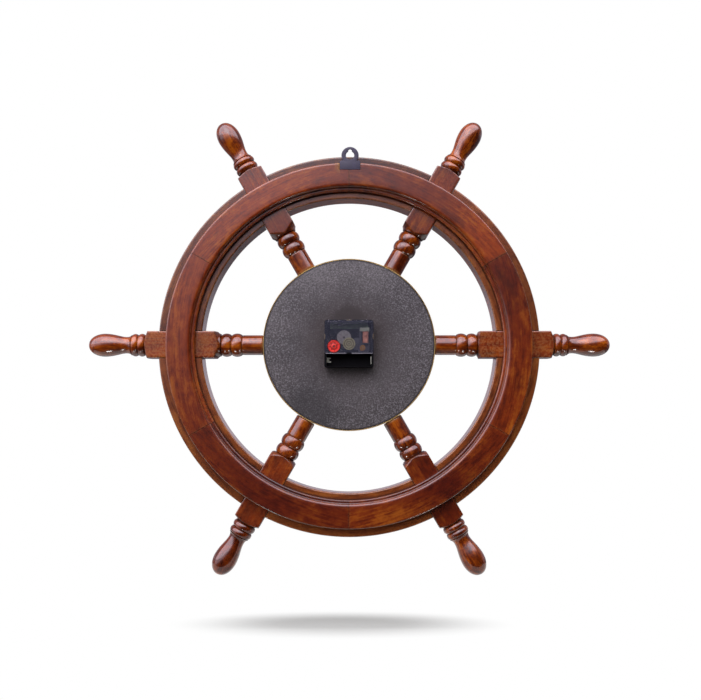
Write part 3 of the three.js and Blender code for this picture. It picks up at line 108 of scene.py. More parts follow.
class Tone:
    """A shader value that Python's own operators work on."""

    def __init__(self, graph: "Graph", socket: Socket) -> None:
        """Keeps the graph that new nodes go into and the socket that carries the value."""
        self.graph = graph
        self.socket = socket

    def __add__(self, other: Feed) -> "Tone":
        """Adds."""
        return self.graph.maths("ADD", self, other)

    def __radd__(self, other: Feed) -> "Tone":
        """Adds, with the value on the right."""
        return self.graph.maths("ADD", other, self)

    def __sub__(self, other: Feed) -> "Tone":
        """Subtracts."""
        return self.graph.maths("SUBTRACT", self, other)

    def __rsub__(self, other: Feed) -> "Tone":
        """Subtracts the value from a number."""
        return self.graph.maths("SUBTRACT", other, self)

    def __mul__(self, other: Feed) -> "Tone":
        """Multiplies."""
        return self.graph.maths("MULTIPLY", self, other)

    def __rmul__(self, other: Feed) -> "Tone":
        """Multiplies, with the value on the right."""
        return self.graph.maths("MULTIPLY", other, self)

    def __truediv__(self, other: Feed) -> "Tone":
        """Divides."""
        return self.graph.maths("DIVIDE", self, other)

    def __rtruediv__(self, other: Feed) -> "Tone":
        """Divides a number by the value."""
        return self.graph.maths("DIVIDE", other, self)

    def __pow__(self, other: Feed) -> "Tone":
        """Raises to a power."""
        return self.graph.maths("POWER", self, other)

    def between(self, low: float, high: float) -> "Tone":
        """Runs smoothly from 0 where the value is low to 1 where it is high."""
        return self.graph.step(self, low, high)

    def at_most(self, other: Feed) -> "Tone":
        """Takes the smaller of two values."""
        return self.graph.maths("MINIMUM", self, other)

    def at_least(self, other: Feed) -> "Tone":
        """Takes the larger of two values."""
        return self.graph.maths("MAXIMUM", self, other)


class Graph:
    """The nodes of one material or world."""

    def __init__(self, tree: bpy.types.NodeTree) -> None:
        """Empties the tree.

        Args:
            tree: The node tree to fill.
        """
        self.tree = tree
        tree.nodes.clear()

    def node(self, kind: str, settings: dict | None = None, sockets: dict | None = None) -> bpy.types.Node:
        """Makes one node.

        Args:
            kind: The node's type.
            settings: Its settings, which are set first.
            sockets: The values or links of its input sockets, by name or number.

        Returns:
            The node.
        """
        made = self.tree.nodes.new(kind)
        for key, value in (settings or {}).items():
            setattr(made, key, value)
        for key, value in (sockets or {}).items():
            self.feed(made.inputs[key], value)
        return made

    def feed(self, socket: Socket, value: Feed) -> None:
        """Links a value to a socket, or writes a plain number or colour on it.

        Args:
            socket: The input socket.
            value: What it gets.
        """
        if isinstance(value, Tone):
            self.tree.links.new(value.socket, socket)
        elif isinstance(value, Socket):
            self.tree.links.new(value, socket)
        else:
            socket.default_value = value

    def maths(self, operation: str, *values: Feed) -> Tone:
        """Adds a Math node."""
        made = self.node("ShaderNodeMath", {"operation": operation}, dict(enumerate(values)))
        return Tone(self, made.outputs[0])

    def step(self, value: Feed, low: float, high: float) -> Tone:
        """Adds a smooth Map Range node from low and high to 0 and 1.

        Args:
            value: The value.
            low: Where 0 ends.
            high: Where 1 begins.

        Returns:
            The share.
        """
        sockets = {"Value": value, "From Min": low, "From Max": high}
        made = self.node("ShaderNodeMapRange", {"interpolation_type": "SMOOTHSTEP", "clamp": True}, sockets)
        return Tone(self, made.outputs[0])

    def blend(self, share: Feed, first: Feed, second: Feed, kind: str = "MIX") -> Socket:
        """Mixes two colours.

        Args:
            share: How much of the second colour shows.
            first: The colour at 0.
            second: The colour at 1.
            kind: The Mix node's blend type.

        Returns:
            The mixed colour's socket.
        """
        settings = {"data_type": "RGBA", "blend_type": kind, "clamp_factor": True}
        return self.node("ShaderNodeMix", settings, {0: share, 6: first, 7: second}).outputs[2]

    def stretch(self, vector: Feed, scale: Sequence[float]) -> Socket:
        """Multiplies a vector by a scale along each axis."""
        return self.node("ShaderNodeVectorMath", {"operation": "MULTIPLY"}, {0: vector, 1: scale}).outputs[0]

    def shift(self, vector: Feed, by: Feed) -> Socket:
        """Adds two vectors."""
        return self.node("ShaderNodeVectorMath", {"operation": "ADD"}, {0: vector, 1: by}).outputs[0]

    def reach(self, vector: Feed) -> Tone:
        """Gives a vector's length."""
        made = self.node("ShaderNodeVectorMath", {"operation": "LENGTH"}, {0: vector})
        return Tone(self, made.outputs["Value"])

    def parts(self, vector: Feed) -> tuple[Tone, Tone, Tone]:
        """Splits a vector into its three values."""
        made = self.node("ShaderNodeSeparateXYZ", None, {0: vector})
        return tuple(Tone(self, socket) for socket in made.outputs)

    def place(self) -> Socket:
        """Gives the Object coordinates."""
        return self.node("ShaderNodeTexCoord").outputs["Object"]

    def mark(self, name: str) -> Tone:
        """Reads one of the piece's own values."""
        return Tone(self, self.node("ShaderNodeAttribute", {"attribute_name": name}).outputs["Fac"])

    def marked_place(self, name: str) -> Socket:
        """Reads one of the piece's own vectors."""
        return self.node("ShaderNodeAttribute", {"attribute_name": name}).outputs["Vector"]

    def rays(self, *kinds: str) -> Tone:
        """Gives 1 for a ray of one of the given kinds, and 0 for any other ray.

        Args:
            kinds: The kinds, as the Light Path node names them.

        Returns:
            The share.
        """
        path = self.node("ShaderNodeLightPath")
        share, *others = [Tone(self, path.outputs[f"Is {kind} Ray"]) for kind in kinds]
        for other in others:
            share = share.at_least(other)
        return share

    def noise(self, vector: Feed, scale: float, detail: float = 3.0, roughness: float = 0.5) -> Tone:
        """Adds a noise texture.

        Args:
            vector: The coordinates.
            scale: Features per metre.
            detail: Its octaves.
            roughness: The share of each finer octave.

        Returns:
            A value near a half.
        """
        sockets = {"Vector": vector, "Scale": scale, "Detail": detail, "Roughness": roughness}
        return Tone(self, self.node("ShaderNodeTexNoise", None, sockets).outputs[0])

    def specks(self, vector: Feed, scale: float) -> Tone:
        """Gives the distance to the nearest of scattered points, in cells."""
        made = self.node("ShaderNodeTexVoronoi", {"feature": "F1"}, {"Vector": vector, "Scale": scale})
        return Tone(self, made.outputs["Distance"])

    def bump(self, height: Feed, depth: float, strength: float = 1.0) -> Socket:
        """Turns a height from 0 to 1 into a normal.

        Args:
            height: The height.
            depth: What a height of 1 stands for, in metres.
            strength: The share of it that shows.

        Returns:
            The normal's socket.
        """
        sockets = {"Height": height, "Distance": depth, "Strength": strength}
        return self.node("ShaderNodeBump", None, sockets).outputs["Normal"]


class Finish:
    """What every finish has: a name and one material, made once."""

    name: str
    _made: dict[str, bpy.types.Material] = {}

    def material(self) -> bpy.types.Material:
        """Gives the finish's material, which is made at the first call.

        Returns:
            The material.
        """
        if self.name not in Finish._made:
            made = bpy.data.materials.new(self.name)
            made.use_nodes = True
            graph = Graph(made.node_tree)
            shader = graph.node("ShaderNodeBsdfPrincipled", None, self.dress(graph))
            graph.node("ShaderNodeOutputMaterial", None, {"Surface": shader.outputs[0]})
            Finish._made[self.name] = made
        return Finish._made[self.name]

    def dress(self, graph: Graph) -> dict[str, Feed]:
        """Adds the finish's nodes and returns what feeds its shader's sockets."""
        raise NotImplementedError


@dataclass(frozen=True)
class Lacquer(Finish):
    """Stained and varnished hardwood. It reads the grain, worn, dark, bare and tone marks of the piece; on the rim
    these marks also carry painted light and painted shade.
    """

    name: str
    deep: str
    middle: str
    light: str
    streak: float = 0.55
    curl: float = 0.3
    toning: float = 0.35
    roughness: float = 0.34
    coat_roughness: float = 0.07
    worn_share: float = 0.8
    relief: float = 0.00012
    worn: str = "b07c50"
    raw: str = "c08d5e"

    def dress(self, graph: Graph) -> dict[str, Feed]:
        """Adds broad figure, mottling, fibres, pores, stains, worn edges, bare wood, and the painted light and shade
        that the marks carry.

        Args:
            graph: The material's nodes.

        Returns:
            The shader's sockets.
        """
        grain = graph.marked_place("grain")
        figure = graph.noise(graph.stretch(grain, (14.0, 44.0, 52.0)), 1.0, 4.0, 0.62)
        curl = graph.noise(graph.stretch(grain, (70.0, 110.0, 130.0)), 1.0, 6.0, 0.68)
        fibre = graph.noise(graph.stretch(grain, (16.0, 420.0, 520.0)), 1.0, 5.0, 0.7)
        pores = graph.noise(graph.stretch(grain, (90.0, 1500.0, 1900.0)), 1.0, 2.0, 0.5)
        blotch = graph.noise(graph.stretch(grain, (24.0, 44.0, 44.0)), 1.0, 3.0, 0.6)
        nicks = graph.noise(grain, 420.0, 3.0, 0.6)
        own = figure.between(0.36, 0.64) * (1.0 - self.curl) + curl.between(0.38, 0.62) * self.curl
        share = own * (1.0 - self.toning) + graph.mark("tone") * self.toning
        base = graph.blend(share, shade(self.deep), shade(self.middle))
        ribbon = (fibre * 0.3 + curl * 0.35 + figure * 0.35).between(0.48, 0.64)
        ribbon = ribbon * self.streak * (0.4 + share * 0.8)
        toned = graph.blend(ribbon.at_most(1.0), base, shade(self.light))
        gloom = (1.0 - (fibre * 0.55 + curl * 0.45).between(0.38, 0.52)) * 0.6
        toned = graph.blend(gloom, toned, graph.blend(1.0, toned, shade("8a5a50"), "MULTIPLY"))
        stain = blotch.between(0.52, 0.74) * 0.6
        toned = graph.blend(stain, toned, graph.blend(1.0, toned, shade("7c6070"), "MULTIPLY"))
        toned = graph.blend(pores.between(0.6, 0.74) * 0.35, toned, shade("1a0603"))
        # The worn mark is edge wear, and on the rings' inner walls and steps it is painted light.
        rubbed = graph.mark("worn") * nicks.between(0.42, 0.6) * self.worn_share
        toned = graph.blend(rubbed, toned, shade(self.worn))
        bare = graph.mark("bare") * nicks.between(0.2, 0.55)
        toned = graph.blend(bare, toned, graph.blend(fibre, shade(self.raw), shade("8f6238")))
        # The dark mark is stain in grooves and dark joints, and painted shade where rings, felloes and blocks meet.
        dark = graph.mark("dark") * (0.7 + nicks * 0.4)
        toned = graph.blend(dark, toned, shade("140402"))
        height = fibre * 0.6 + pores * -0.3 + nicks * 0.1
        return {
            "Base Color": toned,
            "Roughness": self.roughness + nicks * 0.14 + dark * 0.2 + bare * 0.3,
            "Specular IOR Level": 0.12,
            "Coat Weight": (1.0 - rubbed * 0.7) * (1.0 - bare * 0.9) * (1.0 - dark * 0.5),
            "Coat Roughness": self.coat_roughness,
            "Coat IOR": 1.5,
            "Normal": graph.bump(height, self.relief, 0.5),
        }


@dataclass(frozen=True)
class RawWood(Finish):
    """Sawn wood with no varnish, for faces that nobody sees."""

    name: str = "sawn_wood"

    def dress(self, graph: Graph) -> dict[str, Feed]:
        """Adds pale grain along X with saw marks.

        Args:
            graph: The material's nodes.

        Returns:
            The shader's sockets.
        """
        place = graph.place()
        grain = graph.noise(graph.stretch(place, (18.0, 240.0, 240.0)), 1.0, 5.0, 0.6)
        saw = graph.noise(graph.stretch(place, (500.0, 20.0, 20.0)), 1.0, 2.0)
        colour = graph.blend(grain.between(0.36, 0.7), shade("b98a58"), shade("8a5c35"))
        return {
            "Base Color": colour,
            "Roughness": 0.62 + grain * 0.2,
            "Normal": graph.bump(grain + saw * 0.4, 0.0003, 0.6),
        }


@dataclass(frozen=True)
class SpeckledBoard(Finish):
    """The hub's dark back plate: mottled and speckled, with a brown haze round the movement and painted light along
    its top.
    """

    name: str = "speckled_board"
    radius: float = 0.0986
    pale_ring: Point = (0.045, 0.097)
    dark_patch_centre: Point = (0.046, -0.078)
    dark_patch_ring: Point = (0.012, 0.042)
    haze_ring: Point = (0.026, 0.064)
    dome_centre: Point = (0.0, 0.026)
    dome_ring: Point = (0.015, 0.025)
    dome_squash: float = 1.15

    @staticmethod
    def _away(graph: Graph, centre: Point, squash: float = 1.0) -> Tone:
        """Gives the distance from a centre, given as X and Z, which grows faster along Z by the squash."""
        moved = graph.shift(graph.place(), (-centre[0], 0.0, -centre[1]))
        return graph.reach(graph.stretch(moved, (1.0, 0.0, squash)))

    def dress(self, graph: Graph) -> dict[str, Feed]:
        """Adds the mottle, pale and dark specks, the haze, the dome above the movement, a soft darker patch low on
        the board, and painted light along the top.

        Args:
            graph: The material's nodes.

        Returns:
            The shader's sockets.
        """
        place = graph.place()
        _, _, up = graph.parts(place)
        mottle = graph.noise(place, 34.0, 4.0, 0.62)
        cloud = graph.noise(place, 11.0, 3.0, 0.5)
        grit = graph.noise(place, 620.0, 3.0, 0.7)
        fleck = graph.specks(place, 330.0)
        patch = graph.noise(place, 60.0, 2.0, 0.5)
        away = graph.reach(graph.stretch(place, IN_PLANE))
        edge = away.between(*self.pale_ring)
        board = graph.blend(mottle.between(0.3, 0.7), shade("2a2528"), shade("433d41"))
        board = graph.blend(cloud.between(0.42, 0.66) * 0.4, board, shade("514a4d"))
        board = graph.blend(grit.between(0.48, 0.7) * (0.28 + edge * 0.55), board, shade("8a858d"))
        pale = (1.0 - fleck.between(0.12, 0.36)) * patch.between(0.48, 0.6)
        board = graph.blend(pale * (0.05 + edge * 0.35), board, shade("908c94"))
        # Painted light: the board is paler along its upper part, as if lit from above.
        painted_top_light = up.between(-0.02, 0.09) * edge * cloud.between(0.36, 0.56)
        board = graph.blend(painted_top_light * 0.35, board, shade("767076"))
        pitted = (1.0 - grit.between(0.32, 0.48)) * (0.4 + edge * 0.45)
        board = graph.blend(pitted, board, shade("141013"))
        # A soft darker patch low on the board.
        dark_patch = self._away(graph, self.dark_patch_centre) + (mottle - 0.5) * 0.03
        board = graph.blend((1.0 - dark_patch.between(*self.dark_patch_ring)) * 0.6, board, shade("171316"))
        haze = away + (cloud - 0.5) * 0.03
        board = graph.blend((1.0 - haze.between(*self.haze_ring)) * 0.5, board, shade("2c1e1a"))
        dome = self._away(graph, self.dome_centre, self.dome_squash) + (mottle - 0.5) * 0.008
        board = graph.blend((1.0 - dome.between(*self.dome_ring)) * 0.9, board, shade("160c0a"))
        rim = away.between(self.radius - 0.0022, self.radius - 0.0006)
        board = graph.blend(rim * 0.75, board, shade("171214"))
        return {
            "Base Color": board,
            "Roughness": 0.62 + mottle * 0.18,
            "Normal": graph.bump(grit + mottle * 0.5, 0.00035, 0.5),
        }


@dataclass(frozen=True)
class Metal(Finish):
    """A bare or plated metal with fine brushing, stains and scratches."""

    name: str
    colour: str
    tarnish: str
    roughness: float = 0.28
    stain: float = 0.4

    def dress(self, graph: Graph) -> dict[str, Feed]:
        """Adds stains, fine scratches and uneven gloss.

        Args:
            graph: The material's nodes.

        Returns:
            The shader's sockets.
        """
        place = graph.place()
        stain = graph.noise(place, 90.0, 4.0, 0.6)
        fine = graph.noise(graph.stretch(place, (900.0, 900.0, 260.0)), 1.0, 2.0, 0.5)
        colour = graph.blend(stain.between(0.45, 0.75) * self.stain, shade(self.colour), shade(self.tarnish))
        return {
            "Base Color": colour,
            "Metallic": 1.0,
            "Roughness": self.roughness + stain * 0.16 + fine * 0.08,
            "Normal": graph.bump(fine, 0.00004, 0.5),
        }


@dataclass(frozen=True)
class Painted(Finish):
    """Rough blue-black paint on steel, with dusty and worn patches."""

    name: str
    colour: str
    worn: str
    grit: float = 1.0

    def dress(self, graph: Graph) -> dict[str, Feed]:
        """Adds lumps, dust and rubbed spots.

        Args:
            graph: The material's nodes.

        Returns:
            The shader's sockets.
        """
        place = graph.place()
        lumps = graph.noise(place, 700.0, 3.0, 0.6)
        dust = graph.noise(place, 160.0, 4.0, 0.65)
        colour = graph.blend(dust.between(0.44, 0.7) * 0.6, shade(self.colour), shade(self.worn))
        return {
            "Base Color": colour,
            "Roughness": 0.46 + dust * 0.2,
            "Normal": graph.bump(lumps * self.grit, 0.00012, 0.6),
        }


@dataclass(frozen=True)
class Plastic(Finish):
    """Moulded plastic with faint flow marks and dust."""

    name: str
    colour: str
    second: str
    roughness: float = 0.36
    coat: float = 0.25
    shine: float = 0.5

    def dress(self, graph: Graph) -> dict[str, Feed]:
        """Adds flow marks, dust and a fine moulded texture.

        Args:
            graph: The material's nodes.

        Returns:
            The shader's sockets.
        """
        place = graph.place()
        flow = graph.noise(graph.stretch(place, (120.0, 260.0, 60.0)), 1.0, 3.0, 0.5)
        grain = graph.noise(place, 2600.0, 2.0, 0.5)
        colour = graph.blend(flow.between(0.4, 0.7) * 0.5, shade(self.colour), shade(self.second))
        return {
            "Base Color": colour,
            "Roughness": self.roughness + flow * 0.12,
            "Specular IOR Level": self.shine,
            "Coat Weight": self.coat,
            "Coat Roughness": 0.12,
            "Normal": graph.bump(grain, 0.00002, 0.5),
        }


@dataclass(frozen=True)
class Wheel(Finish):
    """Moulded plastic of a train wheel, with round grooves about its own axis."""

    name: str
    colour: str
    groove: str
    centre: Point
    rings: tuple[float, ...]

    def dress(self, graph: Graph) -> dict[str, Feed]:
        """Adds the grooves, moulding marks and dust.

        Args:
            graph: The material's nodes.

        Returns:
            The shader's sockets.
        """
        centre = (self.centre[0], 0.0, self.centre[1])
        sockets = {"Vector": graph.place(), "Location": centre}
        place = graph.node("ShaderNodeMapping", {"vector_type": "TEXTURE"}, sockets).outputs[0]
        away = graph.reach(graph.stretch(place, IN_PLANE))
        flow = graph.noise(place, 380.0, 3.0, 0.5)
        lines = 0.0
        for ring in self.rings:
            lines = (1.0 - graph.maths("ABSOLUTE", away - ring).between(0.0002, 0.0006)) + lines
        lines = lines.at_most(1.0)
        colour = graph.blend(lines * 0.9, shade(self.colour), shade(self.groove))
        colour = graph.blend(flow.between(0.4, 0.7) * 0.3, colour, shade(self.groove))
        return {
            "Base Color": colour,
            "Roughness": 0.42 + flow * 0.12,
            "Normal": graph.bump(1.0 - lines, 0.0001, 0.6),
        }


@dataclass(frozen=True)
class Bobbin(Finish):
    """Dark moulded bobbin with a pale upper flange."""

    name: str = "bobbin_plastic"
    flange: float = 0.0132
    foot: Point = (-0.0015, -0.0007)
    soft: float = 0.0001

    def dress(self, graph: Graph) -> dict[str, Feed]:
        """Adds the pale flange over the dark body.

        Args:
            graph: The material's nodes.

        Returns:
            The shader's sockets.
        """
        place = graph.place()
        _, _, up = graph.parts(place)
        flow = graph.noise(place, 300.0, 3.0, 0.5)
        body = graph.blend(flow, shade("2b2a33"), shade("3b3a44"))
        pale = graph.blend(flow, shade("a8a99b"), shade("8f9085"))
        share = up.between(self.flange - self.soft, self.flange + self.soft)
        low, high = (up.between(level - self.soft, level + self.soft) for level in self.foot)
        foot = low * (1.0 - high)
        colour = graph.blend((share + foot * 0.7).at_most(1.0), body, pale)
        return {"Base Color": colour, "Roughness": 0.4 + flow * 0.1}


@dataclass(frozen=True)
class Clear(Finish):
    """A clear or smoked sheet: how much it hides grows where it is seen at a slant, a painted reflection."""

    name: str
    colour: str
    hides: float
    roughness: float = 0.06
    rim: float = 0.6

    def dress(self, graph: Graph) -> dict[str, Feed]:
        """Adds dust and hairline scratches to a see-through sheet.

        Args:
            graph: The material's nodes.

        Returns:
            The shader's sockets.
        """
        place = graph.place()
        dust = graph.noise(place, 240.0, 4.0, 0.65)
        hair = graph.noise(graph.stretch(place, (60.0, 60.0, 1300.0)), 1.0, 2.0, 0.5)
        # Painted reflection: the sheet grows more opaque at grazing angles, so its own colour shows where a
        # reflection would.
        slant = Tone(graph, graph.node("ShaderNodeFresnel", None, {"IOR": 1.45}).outputs[0])
        smear = dust.between(0.5, 0.75) * 0.06 + hair.between(0.66, 0.74) * 0.05
        return {
            "Base Color": graph.blend(dust.between(0.4, 0.8) * 0.2, shade(self.colour), shade("8d8f98")),
            "Roughness": self.roughness + dust * 0.05,
            "Alpha": (self.hides + smear + slant * self.rim).at_most(1.0),
        }


@dataclass(frozen=True)
class Card(Finish):
    """Printed card for the dial, slightly aged towards its edge."""

    name: str
    colour: str
    edge: str
    radius: float = 0.09

    def dress(self, graph: Graph) -> dict[str, Feed]:
        """Adds paper fibre, foxing and an aged edge.

        Args:
            graph: The material's nodes.

        Returns:
            The shader's sockets.
        """
        place = graph.place()
        fibre = graph.noise(place, 900.0, 4.0, 0.6)
        age = graph.noise(place, 24.0, 4.0, 0.6)
        away = graph.reach(graph.stretch(place, IN_PLANE))
        edge = away.between(self.radius * 0.55, self.radius * 1.05) * (0.35 + age * 0.6)
        colour = graph.blend(edge, shade(self.colour), shade(self.edge))
        colour = graph.blend(age.between(0.62, 0.78) * 0.35, colour, shade(self.edge))
        return {
            "Base Color": colour,
            "Roughness": 0.56 + fibre * 0.1,
            "Normal": graph.bump(fibre, 0.00003, 0.5),
        }


@dataclass(frozen=True)
class Wire(Finish):
    """Enamelled copper wire, wound in fine turns along Z."""

    name: str = "enamelled_wire"
    pitch: float = 0.00022

    def dress(self, graph: Graph) -> dict[str, Feed]:
        """Adds dark stripes between the turns, which are painted shade, and uneven enamel.

        Args:
            graph: The material's nodes.

        Returns:
            The shader's sockets.
        """
        place = graph.place()
        enamel = graph.noise(place, 300.0, 3.0, 0.5)
        _, _, up = graph.parts(place)
        turn = graph.maths("SINE", up * (math.tau / self.pitch)) * 0.5 + 0.5
        colour = graph.blend(enamel.between(0.35, 0.7), shade("b3735f"), shade("c98b74"))
        # Painted shade: dark stripes between the turns.
        colour = graph.blend(turn * 0.35, colour, shade("6d3325"))
        return {
            "Base Color": colour,
            "Metallic": 0.45,
            "Roughness": 0.38 + enamel * 0.15,
            "Normal": graph.bump(turn, 0.00003, 0.6),
        }


class Paint(Enum):
    """The finishes of this clock."""

    TURNED = Lacquer("turned_lacquer", "380b01", "943a04", "c66c14", 0.6, 0.45, 0.25, 0.3, 0.06, 0.5, 0.00003)
    RIM = Lacquer("rim_lacquer", "4e1103", "8e3608", "b0641a", 0.5, 0.4, 0.7, 0.34, 0.14, 0.6, 0.00002)
    LEDGE = Lacquer("ledge_lacquer", "260a0a", "8a4418", "ac6c2c", 0.4, 0.3, 0.75, 0.36, 0.16, 0.45, 0.00002)
    SAWN = RawWood()
    BOARD = SpeckledBoard()
    BRASS = Metal("brass", "b89a62", "77643c", 0.26, 0.5)
    STEEL = Metal("plated_steel", "c9c9cc", "8b8a8c", 0.26, 0.4)
    MAGNET = Metal("magnet", "8f6a3a", "5d4322", 0.4, 0.5)
    HANGER = Painted("hanger_paint", "211c34", "312c46")
    IRON = Painted("dark_iron", "2e2d38", "3d3b46")
    HANDS = Painted("hand_lacquer", "0d0d0f", "1d1d20", 0.3)
    RED = Plastic("red_plastic", "e8261c", "c81a14", 0.34, 0.2, 0.25)
    KNOB = Wheel("red_knob_face", "e2281e", "4a0806", (0.017316, -0.003366), (0.0004, 0.0011, 0.0035))
    DEEP_RED = Plastic("deep_red_plastic", "8c0a08", "6c0606", 0.4, 0.1, 0.2)
    BLACK = Plastic("black_plastic", "030305", "07070a", 0.46, 0.0, 0.06)
    SMOKY = Plastic("smoky_plastic", "403f49", "34333c", 0.4, 0.1)
    # A pale strip that is a painted highlight along the cover's bottom edge.
    PAINTED_EDGE_HIGHLIGHT = Plastic("cover_painted_highlight", "77727c", "56525e", 0.3, 0.3)
    # Near-white plastic in place of plated metal: its brightness is a painted reflection, since the contacts sit in
    # a dark recess.
    NICKEL_PAINTED_BRIGHT = Plastic("nickel_painted_bright", "f4f3ea", "d8d6cc", 0.3, 0.4)
    # Amber for the latches, partly their plastic and partly a painted glint where they catch the light.
    AMBER_LATCH_GLINT = Plastic("amber_latch_and_glint", "8a7240", "5a4826", 0.3, 0.5)
    CREAM = Wheel("cream_wheel", "b0a478", "1e1a10", (0.0, 0.0), (0.0006, 0.0027, 0.0052))
    WHITE = Plastic("white_plastic", "a9a5a2", "8d8887", 0.46, 0.1)
    THIRD = Wheel("third_wheel", "9c9498", "2c272b", (0.005787, 0.007407), (0.0004, 0.0008))
    BOBBIN = Bobbin()
    CIRCUIT = Plastic("circuit_board", "3d5a2b", "2a4420", 0.4, 0.5)
    SMOKED = Clear("smoked_cover", "525268", 0.17, 0.1, 0.3)
    GLASS = Clear("lens_glass", "dfe6e6", 0.03, 0.02, 0.5)
    DIAL = Card("dial_card", "efe6cf", "b99b64")
    INK = Painted("printing_ink", "15110f", "2a2420", 0.2)
    COPPER = Wire()


# Meshes


@dataclass
class Shell:
    """A closed mesh with named values at its points."""

    name: str
    points: np.ndarray
    faces: list[tuple[int, ...]]
    marks: dict[str, np.ndarray] = field(default_factory=dict)

    def facing_out(self) -> "Shell":
        """Turns the faces round if the shell is inside out.

        Returns:
            The shell itself.
        """
        volume = 0.0
        for face in self.faces:
            first = self.points[face[0]]
            for i in range(1, len(face) - 1):
                volume += float(np.dot(first, np.cross(self.points[face[i]], self.points[face[i + 1]])))
        if volume < 0:
            self.faces = [tuple(reversed(face)) for face in self.faces]
        return self

    def made(self, paint: Paint, sharp: float = 32.0) -> Piece:
        """Makes the Blender object.

        Args:
            paint: Its finish.
            sharp: Edges that turn by more degrees than this stay sharp.

        Returns:
            The object, in metres, linked to the scene.
        """
        mesh = bpy.data.meshes.new(self.name)
        mesh.from_pydata((self.points * MM).tolist(), [], self.facing_out().faces)
        mesh.validate()
        for name, values in self.marks.items():
            write_mark(mesh, name, values)
        return dressed(self.name, mesh, paint, sharp)


def write_mark(mesh: bpy.types.Mesh, name: str, values: np.ndarray) -> None:
    """Writes one value or vector for each point of a mesh.

    Args:
        mesh: The mesh.
        name: The attribute's name.
        values: A number or three for each point.
    """
    kind = "FLOAT_VECTOR" if values.ndim == 2 else "FLOAT"
    made = mesh.attributes.new(name, kind, "POINT")
    made.data.foreach_set("vector" if values.ndim == 2 else "value", values.astype(np.float32).ravel())


def placed(name: str, data: bpy.types.ID | None) -> Piece:
    """Makes an object from its data and puts it in the scene.

    Args:
        name: The object's name.
        data: Its mesh, curve, lamp or camera.

    Returns:
        The object.
    """
    made = bpy.data.objects.new(name, data)
    bpy.context.scene.collection.objects.link(made)
    return made


def dressed(name: str, mesh: bpy.types.Mesh, paint: Paint, sharp: float = 32.0) -> Piece:
    """Puts a mesh in the scene with its finish and its sharp edges.

    Args:
        name: The object's name.
        mesh: Its mesh.
        paint: Its finish.
        sharp: Edges that turn by more degrees than this stay sharp.

    Returns:
        The object.
    """
    mesh.materials.clear()
    mesh.materials.append(paint.value.material())
    mesh.shade_smooth()
    mesh.set_sharp_from_angle(angle=math.radians(sharp))
    return placed(name, mesh)


def settle(piece: Piece, body: str, slot: str, *nodes: str) -> None:
    """Attaches a finished piece to its body and hides the CAD nodes that it stands for.

    Args:
        piece: The object.
        body: The body that it rides on.
        slot: The record's material slot. It is not used.
        nodes: The CAD nodes that it replaces.
    """
    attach(piece, body)
    if nodes:
        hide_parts(*nodes)
    log.info("%s rides on %s, %d faces", piece.name, body, len(piece.data.polygons))


def grid(rows: int, columns: int, closed: bool = False) -> list[tuple[int, ...]]:
    """Joins the points of a grid into quads.

    Args:
        rows: How many loops of points there are.
        columns: How many points are in each loop, which is closed.
        closed: Whether the last loop joins the first.

    Returns:
        The faces.
    """
    faces = []
    for row in range(rows if closed else rows - 1):
        here, there = row * columns, (row + 1) % rows * columns
        for column in range(columns):
            after = (column + 1) % columns
            faces.append((here + column, here + after, there + after, there + column))
    return faces


def lathe(name: str, outline: Sequence[Point], steps: int, centre: Point = (0, 0)) -> Shell:
    """Turns a closed outline round an axis along Y.

    Args:
        name: The shell's name.
        outline: The outline's points, as radius and place along Y.
        steps: The flats round the axis.
        centre: Where the axis stands, as X and Z.

    Returns:
        The shell.
    """
    turn = np.linspace(0, math.tau, steps, endpoint=False)
    radius, along = np.array(outline, dtype=float).T
    points = np.empty((steps, len(outline), 3))
    points[:, :, 0] = centre[0] + np.cos(turn)[:, None] * radius
    points[:, :, 1] = along
    points[:, :, 2] = centre[1] + np.sin(turn)[:, None] * radius
    return Shell(name, points.reshape(-1, 3), grid(steps, len(outline), closed=True))


def disc_outline(radius: float, low: float, high: float, ease: float, bore: float = 0.0) -> list[Point]:
    """Outlines a flat disc with eased edges, ready to be turned.

    Args:
        radius: Its radius.
        low: Its lower face along Y.
        high: Its upper face along Y.
        ease: How far its edges are rounded.
        bore: The radius of its hole, or a pinhole that stands for none.

    Returns:
        The outline.
    """
    hole = max(bore, 0.02)
    bends = [math.radians(a) for a in (0, 30, 60, 90)]
    top = [(radius - ease + ease * math.cos(a), high - ease + ease * math.sin(a)) for a in bends]
    bottom = [(radius - ease + ease * math.sin(a), low + ease - ease * math.cos(a)) for a in bends]
    return [(hole, low), (radius * 0.5, low), *bottom, *top, (radius * 0.5, high), (hole, high)]


def plate(
    name: str,
    outlines: Sequence[Sequence[Point]],
    low: float,
    high: float,
    paint: Paint,
    bevel: float = 0.15,
) -> Piece:
    """Cuts a plate that lies in the XZ plane, with rounded edges.

    Args:
        name: The piece's name.
        outlines: The closed outline and its holes, as X and Z.
        low: The lower face along Y.
        high: The upper face along Y.
        paint: Its finish.
        bevel: How far its edges are rounded.

    Returns:
        The object.
    """
    curve = bpy.data.curves.new(name, "CURVE")
    curve.dimensions = "2D"
    curve.fill_mode = "BOTH"
    curve.extrude = ((high - low) / 2 - bevel) * MM
    curve.bevel_depth = bevel * MM
    curve.bevel_resolution = 2
    curve.offset = -bevel * MM
    for outline in outlines:
        spline = curve.splines.new("POLY")
        spline.points.add(len(outline) - 1)
        for point, (across, up) in zip(spline.points, outline, strict=True):
            point.co = (across * MM, up * MM, 0.0, 1.0)
        spline.use_cyclic_u = True
    mesh = mesh_of(name, curve)
    stand_up(mesh, (high + low) / 2 * MM)
    return dressed(name, mesh, paint)


